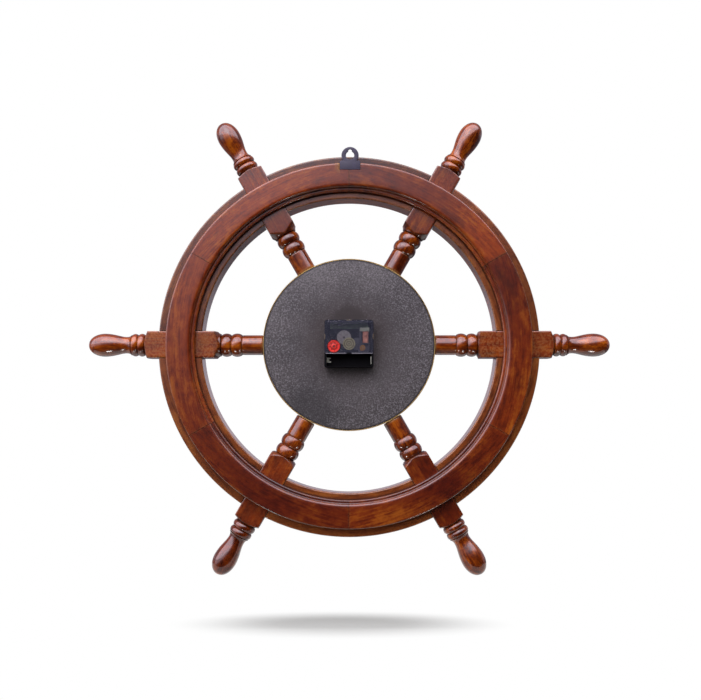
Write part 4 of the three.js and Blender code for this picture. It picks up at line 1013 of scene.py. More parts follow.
def mesh_of(name: str, curve: bpy.types.Curve) -> bpy.types.Mesh:
    """Turns a curve or a text to a plain closed mesh, and removes it.

    Args:
        name: A name for the object that holds it.
        curve: The curve or text.

    Returns:
        The mesh.
    """
    holder = placed(name, curve)
    mesh = solid_from(holder)
    bpy.data.objects.remove(holder)
    bpy.data.curves.remove(curve)
    return mesh


def solid_from(source: Piece) -> bpy.types.Mesh:
    """Copies an evaluated object to a plain mesh with merged seams and faces that point out.

    Args:
        source: The object.

    Returns:
        The mesh.
    """
    mesh = bpy.data.meshes.new_from_object(source.evaluated_get(bpy.context.evaluated_depsgraph_get()))
    work = bmesh.new()
    work.from_mesh(mesh)
    bmesh.ops.remove_doubles(work, verts=work.verts, dist=2e-6)
    bmesh.ops.recalc_face_normals(work, faces=work.faces)
    work.to_mesh(mesh)
    work.free()
    return mesh


def stand_up(mesh: bpy.types.Mesh, along: float, centre: Point = (0.0, 0.0)) -> None:
    """Turns a mesh drawn in XY, seen from above, to one in XZ, seen from the dial's side.

    Args:
        mesh: The mesh.
        along: Where its own Z = 0 comes along Y, in metres.
        centre: Where its own origin comes, as X and Z in metres.
    """
    for vertex in mesh.vertices:
        across, up, out = vertex.co
        vertex.co = (across + centre[0], along - out, up + centre[1])


def arc(radius: float, start: float, end: float, steps: int, centre: Point = (0, 0)) -> list[Point]:
    """Gives points along an arc.

    Args:
        radius: Its radius.
        start: Its first angle, in degrees.
        end: Its last angle, in degrees.
        steps: How many steps it takes.
        centre: Its centre.

    Returns:
        The points.
    """
    angles = [math.radians(start + (end - start) * i / steps) for i in range(steps + 1)]
    return [(centre[0] + radius * math.cos(a), centre[1] + radius * math.sin(a)) for a in angles]


def rounded(left: float, right: float, bottom: float, top: float, corner: float, steps: int = 6) -> list[Point]:
    """Outlines a rectangle with rounded corners.

    Args:
        left: Its left side.
        right: Its right side.
        bottom: Its lower side.
        top: Its upper side.
        corner: The corners' radius.
        steps: The steps of each corner.

    Returns:
        The points, anticlockwise from the right side.
    """
    return [
        *arc(corner, 0, 90, steps, (right - corner, top - corner)),
        *arc(corner, 90, 180, steps, (left + corner, top - corner)),
        *arc(corner, 180, 270, steps, (left + corner, bottom + corner)),
        *arc(corner, 270, 360, steps, (right - corner, bottom + corner)),
    ]


def turned_to(points: np.ndarray, angle: float) -> np.ndarray:
    """Turns points round Y, so that +X comes to the given angle from +X towards +Z.

    Args:
        points: The points, one in each row.
        angle: The angle.

    Returns:
        The turned points.
    """
    across = points[:, 0] * math.cos(angle) - points[:, 2] * math.sin(angle)
    up = points[:, 0] * math.sin(angle) + points[:, 2] * math.cos(angle)
    return np.stack([across, points[:, 1], up], axis=1)


def close_to(distance: np.ndarray, width: float) -> np.ndarray:
    """Falls from 1 where a distance is nothing to 0 where it reaches the width."""
    return np.clip(1 - np.abs(distance) / width, 0, 1)


def boxed(left: float, right: float, low: float, high: float) -> list[Point]:
    """Outlines a rectangle."""
    return [(left, low), (right, low), (right, high), (left, high)]


# Spokes


@dataclass
class Turning:
    """An outline that a blank is turned to: rows of distance, radius, dark mark and worn mark."""

    rows: list[tuple[float, float, float, float]] = field(default_factory=list)

    def add(self, along: float, radius: float, dark: float = 0.0, worn: float = 0.0) -> None:
        """Adds one point."""
        self.rows.append((along, radius, dark, worn))


@dataclass
class Spokes:
    """Six spokes turned from square blanks, each with a tenon, beads, a block, a neck and a handle."""

    tenon_start: float = 80.3
    shoulder: float = 100.3
    tenon_radius: float = 8.0
    spindle_radius: float = 11.6
    spindle_ease: float = 0.7
    inner_beads: tuple[float, ...] = (124.5, 137.3, 149.2)
    worn_grooves: tuple[int, ...] = (2, 3, 6)
    bead_radius: float = 13.7
    groove_radius: float = 11.1
    block_start: float = 149.6
    block_end: float = 237.4
    block_foot: float = 13.2
    block_crown: float = 12.6
    shoulder_depths: tuple[float, ...] = (7.0, 9.0, 8.0, 3.0, 6.2, 6.6)
    shoulder_bends: tuple[float, ...] = (1.95, 1.5, 1.45, 1.5, 1.0, 0.85)
    outer_shoulder: float = 4.4
    tones: tuple[float, ...] = (1.1, 0.5, 0.4, 0.85, 0.2, 0.75)
    bare_ends: tuple[float, ...] = (0.3, 0.8, 0.8, 0.3, 0.9, 0.3)
    rubbed_blocks: tuple[float, ...] = (0.55, 0.1, 0.1, 0.45, 0.0, 0.1)
    half_width: float = 15.5
    half_depth: float = 14.0
    corner: float = 0.9
    outer_beads: tuple[float, ...] = (238.4, 246.4, 254.0)
    outer_radii: tuple[float, ...] = (13.4, 13.2)
    neck: tuple[Point, ...] = (
        (254.0, 12.2), (255.4, 10.9), (257.6, 9.9), (260.6, 9.65), (264.5, 10.0), (269.5, 11.1),
        (275.0, 12.35), (280.5, 13.2), (285.2, 13.5),
    )
    tip: float = 304.7
    side_steps: int = 18
    ring_lines: tuple[Point, ...] = ((180.6, 0.9), (210.3, 0.7))
    felloe_lines: tuple[Point, ...] = ((170.6, 0.9), (221.0, 0.9))

    def outline(self, index: int) -> np.ndarray:
        """Gives the rows of one spoke's outline: distance, turned radius, dark mark and worn mark.

        Args:
            index: The spoke's number, from 1.

        Returns:
            A row for each point, from the tenon to the tip.
        """
        turning = Turning()
        reach = math.hypot(self.half_width, self.half_depth) + 0.4
        for along in (self.tenon_start, self.shoulder - 0.4, self.shoulder):
            turning.add(along, self.tenon_radius)
        turning.add(self.shoulder, self.spindle_radius - self.spindle_ease, 0.2)
        for i in range(5):
            drop = 1 - math.sin(i / 4 * math.pi / 2)
            turning.add(self.shoulder + 0.1 + i * 0.3, self.spindle_radius - self.spindle_ease * drop, 0.2 * drop)
        for along in np.linspace(self.shoulder + 2.4, self.inner_beads[0] - 1.6, 18).tolist():
            turning.add(along, self.spindle_radius)
        worn = 0.8 if index in self.worn_grooves else 0.0
        turning.add(self.inner_beads[0] - 0.8, self.spindle_radius, 0.0, worn)
        self._beads(turning, self.inner_beads, (self.bead_radius, self.bead_radius))
        low, high = self.block_start, self.block_start + self.shoulder_depths[index - 1]
        for share in np.linspace(0, 1, 24).tolist():
            radius = self.block_foot + (reach - self.block_foot) * share ** self.shoulder_bends[index - 1]
            turning.add(low + 0.05 + (high - low) * share, radius, 0.55 * (1 - share) ** 4 + 0.15)
        start = self.block_end - self.outer_shoulder
        for along in np.linspace(high + 0.5, start - 0.5, 60).tolist():
            turning.add(along, reach + 2)
        for share in np.linspace(0, 1, 16).tolist():
            radius = reach - (reach - self.block_crown) * share**1.2
            turning.add(start + self.outer_shoulder * share, radius, 0.4 * share**3 + 0.1)
        self._beads(turning, self.outer_beads, self.outer_radii)
        bends = self.neck
        for i in range(1, len(bends)):
            before, here, there = bends[max(i - 2, 0)], bends[i - 1], bends[i]
            after = bends[min(i + 1, len(bends) - 1)]
            dark = 0.2 * max(0.0, 1 - (here[0] - 253.5) / 3)
            for share in (0.25, 0.5, 0.75, 1.0):
                radius = bend(before[1], here[1], there[1], after[1], share)
                turning.add(here[0] + (there[0] - here[0]) * share, radius, dark)
        start, crown = bends[-1]
        for angle in np.linspace(0, 90, 26)[1:-1].tolist():
            lean = math.radians(angle)
            turning.add(start + (self.tip - start) * math.sin(lean) ** 0.96, crown * math.cos(lean) ** 0.94)
        turning.add(self.tip - 0.01, 0.35)
        return np.array(turning.rows)

    def _beads(self, turning: Turning, edges: Sequence[float], crowns: Sequence[float]) -> None:
        """Adds the points of a row of beads.

        Args:
            turning: The outline, which grows.
            edges: The grooves between which the beads lie.
            crowns: Each bead's radius.
        """
        for start, end, crown in zip(edges[:-1], edges[1:], crowns, strict=True):
            for share in np.linspace(0, 1, 21).tolist():
                swell = max(0.0, 1 - abs(2 * share - 1) ** 2.0) ** 0.72
                radius = self.groove_radius + (crown - self.groove_radius) * swell
                dark = 0.5 * max(0.0, 1 - 9 * min(share, 1 - share))
                turning.add(start + (end - start) * share, radius, dark, 0.5 if share < 0.03 else 0.0)

    def section(self) -> tuple[np.ndarray, np.ndarray]:
        """Gives the angles round a spoke, closer near the blank's corners, and the blank's radius there.

        Returns:
            The angles, and the radius at each.
        """
        diagonal = math.atan2(self.half_depth, self.half_width)
        corners = [diagonal, math.pi - diagonal, math.pi + diagonal, math.tau - diagonal, math.tau + diagonal]
        angles = []
        for start, end in zip(corners[:-1], corners[1:], strict=True):
            for step in range(self.side_steps):
                share = 0.5 - 0.5 * math.cos(math.pi * step / self.side_steps)
                angles.append(start + (end - start) * share)
        turn = np.array(angles)
        return turn, np.array([self._blank(a) for a in angles])

    def _blank(self, angle: float) -> float:
        """Gives the distance from the axis to the blank's face or rounded corner.

        Args:
            angle: The direction, from the blank's width.

        Returns:
            The distance.
        """
        across, deep = abs(math.cos(angle)), abs(math.sin(angle))
        flat = min(self.half_width / max(across, 1e-6), self.half_depth / max(deep, 1e-6))
        near = (self.half_width - self.corner, self.half_depth - self.corner)
        if across * flat <= near[0] or deep * flat <= near[1]:
            return flat
        along = across * near[0] + deep * near[1]
        return along + math.sqrt(max(0.0, along * along - near[0] ** 2 - near[1] ** 2 + self.corner**2))

    def shell(self, index: int) -> Shell:
        """Makes one spoke's mesh, with its marks.

        Args:
            index: The spoke's number, from 1.

        Returns:
            The shell.
        """
        outline = self.outline(index)
        turn, blank = self.section()
        along, radius = outline[:, 0][:, None], outline[:, 1][:, None]
        reach = np.minimum(radius, blank[None, :])
        local = np.stack([along + reach * 0, reach * np.sin(turn), reach * np.cos(turn)], axis=2).reshape(-1, 3)
        rows, columns = len(outline), len(turn)
        faces = grid(rows, columns)
        first, last = len(local), len(local) + 1
        ends = np.array([[self.tenon_start, 0, 0], [self.tip, 0, 0]])
        for column in range(columns):
            after = (column + 1) % columns
            faces.append((first, after, column))
            faces.append((last, (rows - 1) * columns + column, (rows - 1) * columns + after))
        local = np.vstack([local, ends])
        cut = close_to(blank[None, :] - radius, 0.55)
        on_blank = (radius > blank[None, :]).astype(float)
        diagonal = math.hypot(self.half_width - self.corner * 0.4, self.half_depth - self.corner * 0.4)
        arris = on_blank * np.clip(1 - (diagonal + 0.35 - blank[None, :]) / 0.5, 0, 1)
        worn = np.maximum(np.maximum(cut * 0.5, arris), outline[:, 3][:, None]).reshape(-1)
        flat = on_blank.reshape(-1)
        worn = np.maximum(worn, flat * self.rubbed_blocks[index - 1])
        dark = np.repeat(outline[:, 2], columns)
        rim = self._rim_shadow(local[:-2])
        grain = local * MM + np.array([index * 0.737, index * 0.31, index * 0.53])
        extra = np.zeros(2)
        bare = close_to(local[:-2, 0] - self.shoulder - 0.6, 2.4) * self.bare_ends[index - 1]
        marks = {
            "grain": grain,
            "worn": np.concatenate([worn, extra]),
            "dark": np.concatenate([np.maximum(dark, rim), extra]),
            "bare": np.concatenate([bare, extra]),
            "tone": np.full(len(local), self.tones[index - 1]),
            "flat": np.concatenate([flat, extra]),
        }
        return Shell(f"turned_spoke_{index}", turned_to(local, (index - 1) * PITCH), faces, marks)

    def _rim_shadow(self, local: np.ndarray) -> np.ndarray:
        """Darkens the block along the lines where the rings and the felloes meet it.

        Args:
            local: The spoke's points, along +X.

        Returns:
            A dark mark for each point.
        """
        along, deep, across = np.abs(local).T
        on_face, on_side = deep > self.half_depth - 1.5, across > self.half_width - 1.5
        rings = np.max([close_to(along - place, width) for place, width in self.ring_lines], axis=0)
        felloes = np.max([close_to(along - place, width) for place, width in self.felloe_lines], axis=0)
        return np.maximum(on_face * rings, on_side * felloes) * 0.8

    def build(self) -> None:
        """Makes the six spokes."""
        for index in range(1, SPOKES + 1):
            made = self.shell(index).made(Paint.TURNED, 38)
            made.data.materials.append(Paint.RIM.value.material())
            flat = made.data.attributes["flat"].data
            for face in made.data.polygons:
                face.material_index = int(all(flat[corner].value > 0.5 for corner in face.vertices))
            settle(made, "clock_body", "turned_wood", f"spoke_{index}")


def bend(before: float, here: float, there: float, after: float, share: float) -> float:
    """Gives a point on the smooth curve between two of four values.

    Args:
        before: The value before the two.
        here: The first value.
        there: The second value.
        after: The value after them.
        share: How far it is from the first to the second.

    Returns:
        The curve's value.
    """
    a = 2 * here
    b = there - before
    c = 2 * before - 5 * here + 4 * there - after
    d = 3 * here - before - 3 * there + after
    return 0.5 * (a + b * share + c * share**2 + d * share**3)


# Rim


@dataclass
class Rim:
    """Six felloes between the spokes' blocks, with a ring of six segments on each side of them."""

    inner: float = 171.0
    outer: float = 220.5
    half_depth: float = 14.0
    ring_inner: float = 181.0
    ring_outer: float = 210.0
    ring_foot: float = 14.3
    ring_face: float = 27.5
    edge_ease: float = 1.6
    foot_inner: float = 178.2
    step_top: float = 21.0
    step_ease: float = 1.5
    joint: float = 0.15
    block_side: float = 15.8
    steps: int = 58
    end_width: float = 0.9
    fleck_width: float = 1.6
    mortise: tuple[float, float, float] = (-13.4, 12.0, 201.5)
    mortise_floor: float = 26.0
    ring_tones: tuple[Point, ...] = (
        (-30.0, 0.4), (-12.0, 0.45), (0.0, 0.7), (30.0, 0.8), (60.0, 1.0), (78.0, 0.7),
        (90.0, 0.3), (90.1, 0.1), (110.0, 0.35), (126.0, 0.5), (140.0, 1.2), (149.0, 1.1),
        (150.1, 0.1), (169.9, 0.1), (170.1, 0.35), (210.0, 0.7), (210.1, 0.45), (236.0, -0.1),
        (258.0, 0.5), (269.9, 0.45), (270.1, 0.2), (300.0, 0.0), (318.0, 0.2), (330.0, 0.3),
    )
    step_shade: float = 0.4
    felloe_tones: tuple[float, ...] = (0.25, 0.05, 0.75, 1.5, 1.15, 0.95)
    inner_tones: tuple[float, ...] = (0.5, 1.1, 1.0, 0.9, 0.8, 1.1)

    def felloe_section(self) -> np.ndarray:
        """Outlines a felloe as radius, depth, worn mark and dark mark; the dark mark under and beside the rings'
        feet is painted shade.

        Returns:
            A row for each point.
        """
        inner, outer, deep, ease = self.inner, self.outer, self.half_depth, 0.8
        # Painted shade where the rings sit on the felloe.
        ring_foot_shade = 0.9
        across = [
            (inner + ease, 0.85, 0.0),
            (inner + ease + 0.7, 0.1, 0.0),
            (inner + 4, 0.0, 0.0),
            (self.foot_inner - 3, 0.0, 0.0),
            (self.foot_inner - 1.2, 0.0, 0.25),
            (self.foot_inner - 0.3, 0.0, ring_foot_shade),
            (self.foot_inner + 3, 0.0, ring_foot_shade),
            (self.ring_outer - 3, 0.0, ring_foot_shade),
            (self.ring_outer + 0.2, 0.0, ring_foot_shade),
            (self.ring_outer + 0.9, 0.1, 0.1),
            (self.ring_outer + 4, 0.0, 0.0),
            (outer - ease - 0.8, 0.15, 0.0),
            (outer - ease, 0.9, 0.0),
        ]
        side = ((deep - ease, 0.9), (deep - 2, 0.1), (0.0, 0.0), (2 - deep, 0.1), (ease - deep, 0.9))
        wall = ((ease - deep, 0.8), (2.4 - deep, 0.1), (0.0, 0.0), (deep - 2.4, 0.1), (deep - ease, 0.8))
        section = [
            *((radius, deep, worn, dark) for radius, worn, dark in across),
            *((outer, level, worn, 0.0) for level, worn in side),
            *((radius, -deep, worn, dark) for radius, worn, dark in reversed(across)),
            *((inner, level, worn, 0.0) for level, worn in wall),
        ]
        return np.array(section)

    def ring_section(self) -> np.ndarray:
        """Outlines a ring segment, with a rounded step inside its edge, as radius, depth, worn mark and dark mark;
        some of these marks are painted light and painted shade.

        Returns:
            A row for each point.
        """
        inner, outer, ease = self.ring_inner, self.ring_outer, self.edge_ease
        foot, face = self.ring_foot, self.ring_face
        low, top, turn = self.foot_inner, self.step_top, self.step_ease
        round_edge = arc(ease, 0, 90, 6, (outer - ease, face - ease))
        step = arc(turn, 90, 180, 7, (low + turn, top - turn))
        section = [
            # Dark marks at both feet of the ring are painted shade where it sits on the felloe.
            (low, foot, 0.0, 0.6),
            (low + 6, foot, 0.0, 0.0),
            (outer - 4, foot, 0.0, 0.0),
            (outer, foot, 0.0, 0.9),
            (outer, foot + 0.8, 0.0, 0.25),
            (outer, foot + 4, 0.0, 0.0),
            (outer, face - ease - 2, 0.0, 0.0),
            *((r, y, 0.6 if 1 <= i <= 3 else 0.15, 0.0) for i, (r, y) in enumerate(round_edge)),
            (outer - ease - 1, face, 0.0, 0.0),
            (outer - 6, face, 0.0, 0.0),
            (outer - 14, face, 0.0, 0.0),
            (inner + 10, face, 0.0, 0.0),
            (inner + 5, face, 0.0, 0.0),
            (inner + 3.4, face - 0.1, 0.0, 0.0),
            # Dark marks on the inner rounding are painted shade; worn marks on the inner wall below it are painted
            # light.
            (inner + 2.4, face - 0.35, 0.0, 0.1),
            (inner + 1.7, face - 0.9, 0.2, 0.2),
            (inner + 1.35, face - 1.8, 0.5, 0.0),
            (inner + 1.2, face - 3.0, 0.6, 0.0),
            # Dark marks in the corner over the step are painted shade.
            (inner + 1.15, top + 1.0, 0.0, 0.15),
            (inner + 1.1, top + 0.2, 0.0, 0.5),
            (inner + 0.8, top, 0.0, 0.5),
            (inner + 0.1, top, 0.0, 0.0),
            # The worn mark on the step's rounded edge is a painted highlight.
            *((r, y, 0.5 if 2 <= i <= 6 else 0.0, 0.0) for i, (r, y) in enumerate(step)),
            (low, foot + 3, 0.0, 0.0),
            # Painted shade at the inner foot.
            (low, foot + 1.2, 0.0, 0.4),
        ]
        return np.array(section)

    def sweep(self, name: str, section: np.ndarray, angle: float, joint: float, tone: float, side: int = 1) -> Shell:
        """Sweeps an outline along a sixth of the rim and marks its ends.

        Args:
            name: The shell's name.
            section: The outline, with its marks.
            angle: Where its middle comes, from +X towards +Z.
            joint: How far its end faces stay from the planes through the wheel's axis.
            tone: How light its wood is, from 0 to 1.
            side: 1 for the wall side, -1 for the dial side.

        Returns:
            The shell.
        """
        near = np.array([1.0, 0.9985, 0.997, 0.994, 0.988])
        shares = np.concatenate([-near, np.linspace(-0.975, 0.975, self.steps), near[::-1]])
        radius, deep = section[:, 0], section[:, 1] * side
        limit = PITCH / 2 - np.arcsin(joint / radius)
        turn = shares[:, None] * limit[None, :]
        local = np.stack([radius * np.cos(turn), deep + turn * 0, radius * np.sin(turn)], axis=2)
        away = (limit[None, :] - np.abs(turn)) * radius
        fleck, ending = (0.55, 0.8) if joint > 1 else (0.3, 0.3)
        worn = np.maximum(section[:, 2][None, :] + turn * 0, close_to(away, self.fleck_width) * fleck)
        dark = np.maximum(section[:, 3][None, :] + turn * 0, close_to(away, self.end_width) * ending)
        rows, columns = len(shares), len(radius)
        points = local.reshape(-1, 3)
        arcs, radii = (turn * 196.0).reshape(-1), np.broadcast_to(radius[None, :], turn.shape).reshape(-1)
        along, across = 0.35 * points[:, 2] + 0.65 * arcs, 0.35 * points[:, 0] + 0.65 * radii
        grain = np.stack([along, points[:, 1], across], axis=1) * MM + angle * 2.3 + side * 0.9
        faces = grid(rows, columns)
        faces.append(tuple(range(columns)))
        faces.append(tuple(reversed(range((rows - 1) * columns, rows * columns))))
        plain = np.zeros(rows * columns)
        if joint < 1:
            knots = np.array(self.ring_tones)
            turned = (np.degrees(turn + angle).reshape(-1) + 30.05) % 360 - 30.05
            tones = np.interp(turned, knots[:, 0], knots[:, 1])
            # Painted light and shade on the ring's inner wall and step: lighter all round, and towards the bottom
            # darker, with its painted highlight dimmed.
            step = radii < self.ring_inner + 1.3
            lower = step * np.clip((turned - 185.0) / 25.0, 0, 1) * np.clip((350.0 - turned) / 30.0, 0, 1)
            tones += 0.6 * step - 0.8 * lower
            worn = worn * (1 - 0.75 * lower.reshape(worn.shape))
            dark = np.maximum(dark, self.step_shade * lower.reshape(dark.shape))
        else:
            inner = self.inner_tones[round(angle / PITCH - 0.5)]
            tones = plain + np.where(radii < self.ring_inner, inner, tone)
        marks = {"grain": grain, "worn": worn.ravel(), "dark": dark.ravel(), "bare": plain, "tone": tones}
        return Shell(name, turned_to(points, angle), faces, marks)

    def mortised(self, ring: Piece, paint: Paint) -> Piece:
        """Cuts the hanger's mortise in a ring segment and carries its marks over.

        Args:
            ring: The segment, which is removed.
            paint: Its finish.

        Returns:
            The segment with its mortise.
        """
        left, right, bottom = (value * MM for value in self.mortise)
        floor, top = self.mortise_floor * MM, (self.ring_face + 2) * MM
        high = (self.ring_outer + 8) * MM
        corners = [(x, y, z) for x in (left, right) for y in (floor, top) for z in (bottom, high)]
        sides = [(0, 1, 3, 2), (4, 6, 7, 5), (0, 4, 5, 1), (2, 3, 7, 6), (0, 2, 6, 4), (1, 5, 7, 3)]
        tool_mesh = bpy.data.meshes.new("mortise")
        tool_mesh.from_pydata(corners, [], sides)
        tool = placed("mortise", tool_mesh)
        old = np.array([vertex.co[:] for vertex in ring.data.vertices])
        marks = {}
        for name, width in (("grain", 3), ("worn", 1), ("dark", 1), ("bare", 1), ("tone", 1)):
            values = np.empty(len(old) * width, dtype=np.float32)
            ring.data.attributes[name].data.foreach_get("vector" if width == 3 else "value", values)
            marks[name] = values.reshape(len(old), width)
        modifier = ring.modifiers.new("mortise", "BOOLEAN")
        modifier.operation, modifier.solver, modifier.object = "DIFFERENCE", "EXACT", tool
        mesh = bpy.data.meshes.new_from_object(ring.evaluated_get(bpy.context.evaluated_depsgraph_get()))
        name = ring.name
        bpy.data.objects.remove(ring)
        bpy.data.objects.remove(tool)
        tree = KDTree(len(old))
        for index, place in enumerate(old):
            tree.insert(place, index)
        tree.balance()
        new = np.array([vertex.co[:] for vertex in mesh.vertices])
        nearest = [tree.find(place)[1] for place in new]
        inside = (new[:, 0] > left - 1e-5) & (new[:, 0] < right + 1e-5) & (new[:, 2] > bottom - 1e-5)
        inside &= (new[:, 1] > floor - 1e-5) & (new[:, 1] < (self.ring_face - 0.1) * MM)
        for label, kept in marks.items():
            if label in mesh.attributes:
                mesh.attributes.remove(mesh.attributes[label])
            values = kept[nearest]
            if label == "bare":
                patch = np.clip(1 - (new[:, 0] - right) / 0.006, 0, 1) * (new[:, 0] > right)
                patch *= (new[:, 2] > bottom - 0.0005) & (new[:, 2] < bottom + 0.009) & (new[:, 1] > floor)
                values = np.maximum(np.maximum(values[:, 0], inside * 0.9), patch * 0.6)
            elif label != "grain":
                values = values[:, 0] * (1 - inside)
            write_mark(mesh, label, values)
        made = dressed(name, mesh, paint)
        made.name = name
        return made

    def build(self) -> None:
        """Makes the felloes and both rings."""
        felloe, ring = self.felloe_section(), self.ring_section()
        for index in range(SPOKES):
            angle = (index + 0.5) * PITCH
            shell = self.sweep(f"felloe_wood_{index + 1}", felloe, angle, self.block_side, self.felloe_tones[index])
            settle(shell.made(Paint.LEDGE, 50), "clock_body", "lacquered_wood", f"felloe_{index + 1}")
        for index in range(SPOKES):
            for label, side in (("back", 1), ("front", -1)):
                name = f"{label}_ring_wood_{index + 1}"
                shell = self.sweep(name, ring, index * PITCH, self.joint, 0.0, side)
                made = shell.made(Paint.RIM, 50)
                if side > 0 and index in (1, 2):
                    made = self.mortised(made, Paint.RIM)
                settle(made, "clock_body", "lacquered_wood", f"{label}_ring_{index + 1}")


@dataclass
class HangerPlate:
    """The steel plate with a keyhole that holds the clock on its screw."""

    offset: float = -1.2
    low: float = 26.3
    high: float = 27.5
    foot: float = 23.8
    bottom: float = 201.8
    shoulder: float = 212.4
    clip: float = 1.6
    eye_height: float = 218.4
    eye_radius: float = 10.0
    hole: float = 4.85
    slot: float = 4.3
    slot_top: float = 225.6

    def outline(self) -> list[Point]:
        """Outlines the foot, with its clipped corners, and the round eye on it.

        Returns:
            The points, as X and Z.
        """
        half, x = self.foot / 2, self.offset
        start = math.degrees(math.asin((self.shoulder - self.eye_height) / self.eye_radius))
        eye = arc(self.eye_radius, start, 180 - start, 40, (x, self.eye_height))
        foot = [(x - half, self.bottom), (x + half, self.bottom), (x + half, self.shoulder - self.clip)]
        foot.append((x + half - self.clip, self.shoulder))
        return [*foot, *eye, (x - half + self.clip, self.shoulder), (x - half, self.shoulder - self.clip)]

    def keyhole(self) -> list[Point]:
        """Outlines the round hole with the narrow slot over it.

        Returns:
            The points, as X and Z.
        """
        x, z, half = self.offset, self.eye_height, self.slot / 2
        meet = math.degrees(math.acos(half / self.hole))
        slot = arc(half, 0, 180, 12, (x, self.slot_top - half))
        return [*slot, *arc(self.hole, 180 - meet, 360 + meet, 32, (x, z))]

    def build(self) -> None:
        """Cuts the plate."""
        made = plate("hanger", [self.outline(), self.keyhole()], self.low, self.high, Paint.HANGER, 0.25)
        settle(made, "clock_body", "painted_steel", "hanger_plate")


# Hub and dial side


@dataclass
class Hub:
    """The brass band and the dark back plate round the wooden core."""

    radius: float = 100.0
    wall: float = 1.0
    front: float = -11.2
    back: float = 12.5
    plate_low: float = 11.5
    plate_radius: float = 98.6
    shaft_hole: float = 5.4
    steps: int = 180

    def band(self) -> Piece:
        """Bends the brass band, with rolled edges.

        Returns:
            The band.
        """
        inner, outer, ease = self.radius - self.wall, self.radius, 0.3
        outline = [
            (inner, self.front + ease),
            (inner + ease, self.front),
            (outer - ease, self.front),
            (outer, self.front + ease),
            (outer, self.back - ease),
            (outer - ease, self.back),
            (inner + ease, self.back),
            (inner, self.back - ease),
        ]
        return lathe("hub_brass_band", outline, self.steps).made(Paint.BRASS)

    def back_plate(self) -> Piece:
        """Makes the board that closes the hub at the back."""
        outline = disc_outline(self.plate_radius, self.plate_low, self.back, 0.25, self.shaft_hole)
        return lathe("hub_board", outline, self.steps).made(Paint.BOARD)

    def build(self) -> None:
        """Makes both pieces."""
        settle(self.band(), "clock_body", "brass", "hub_band")
        settle(self.back_plate(), "clock_body", "back_board", "hub_back_plate")


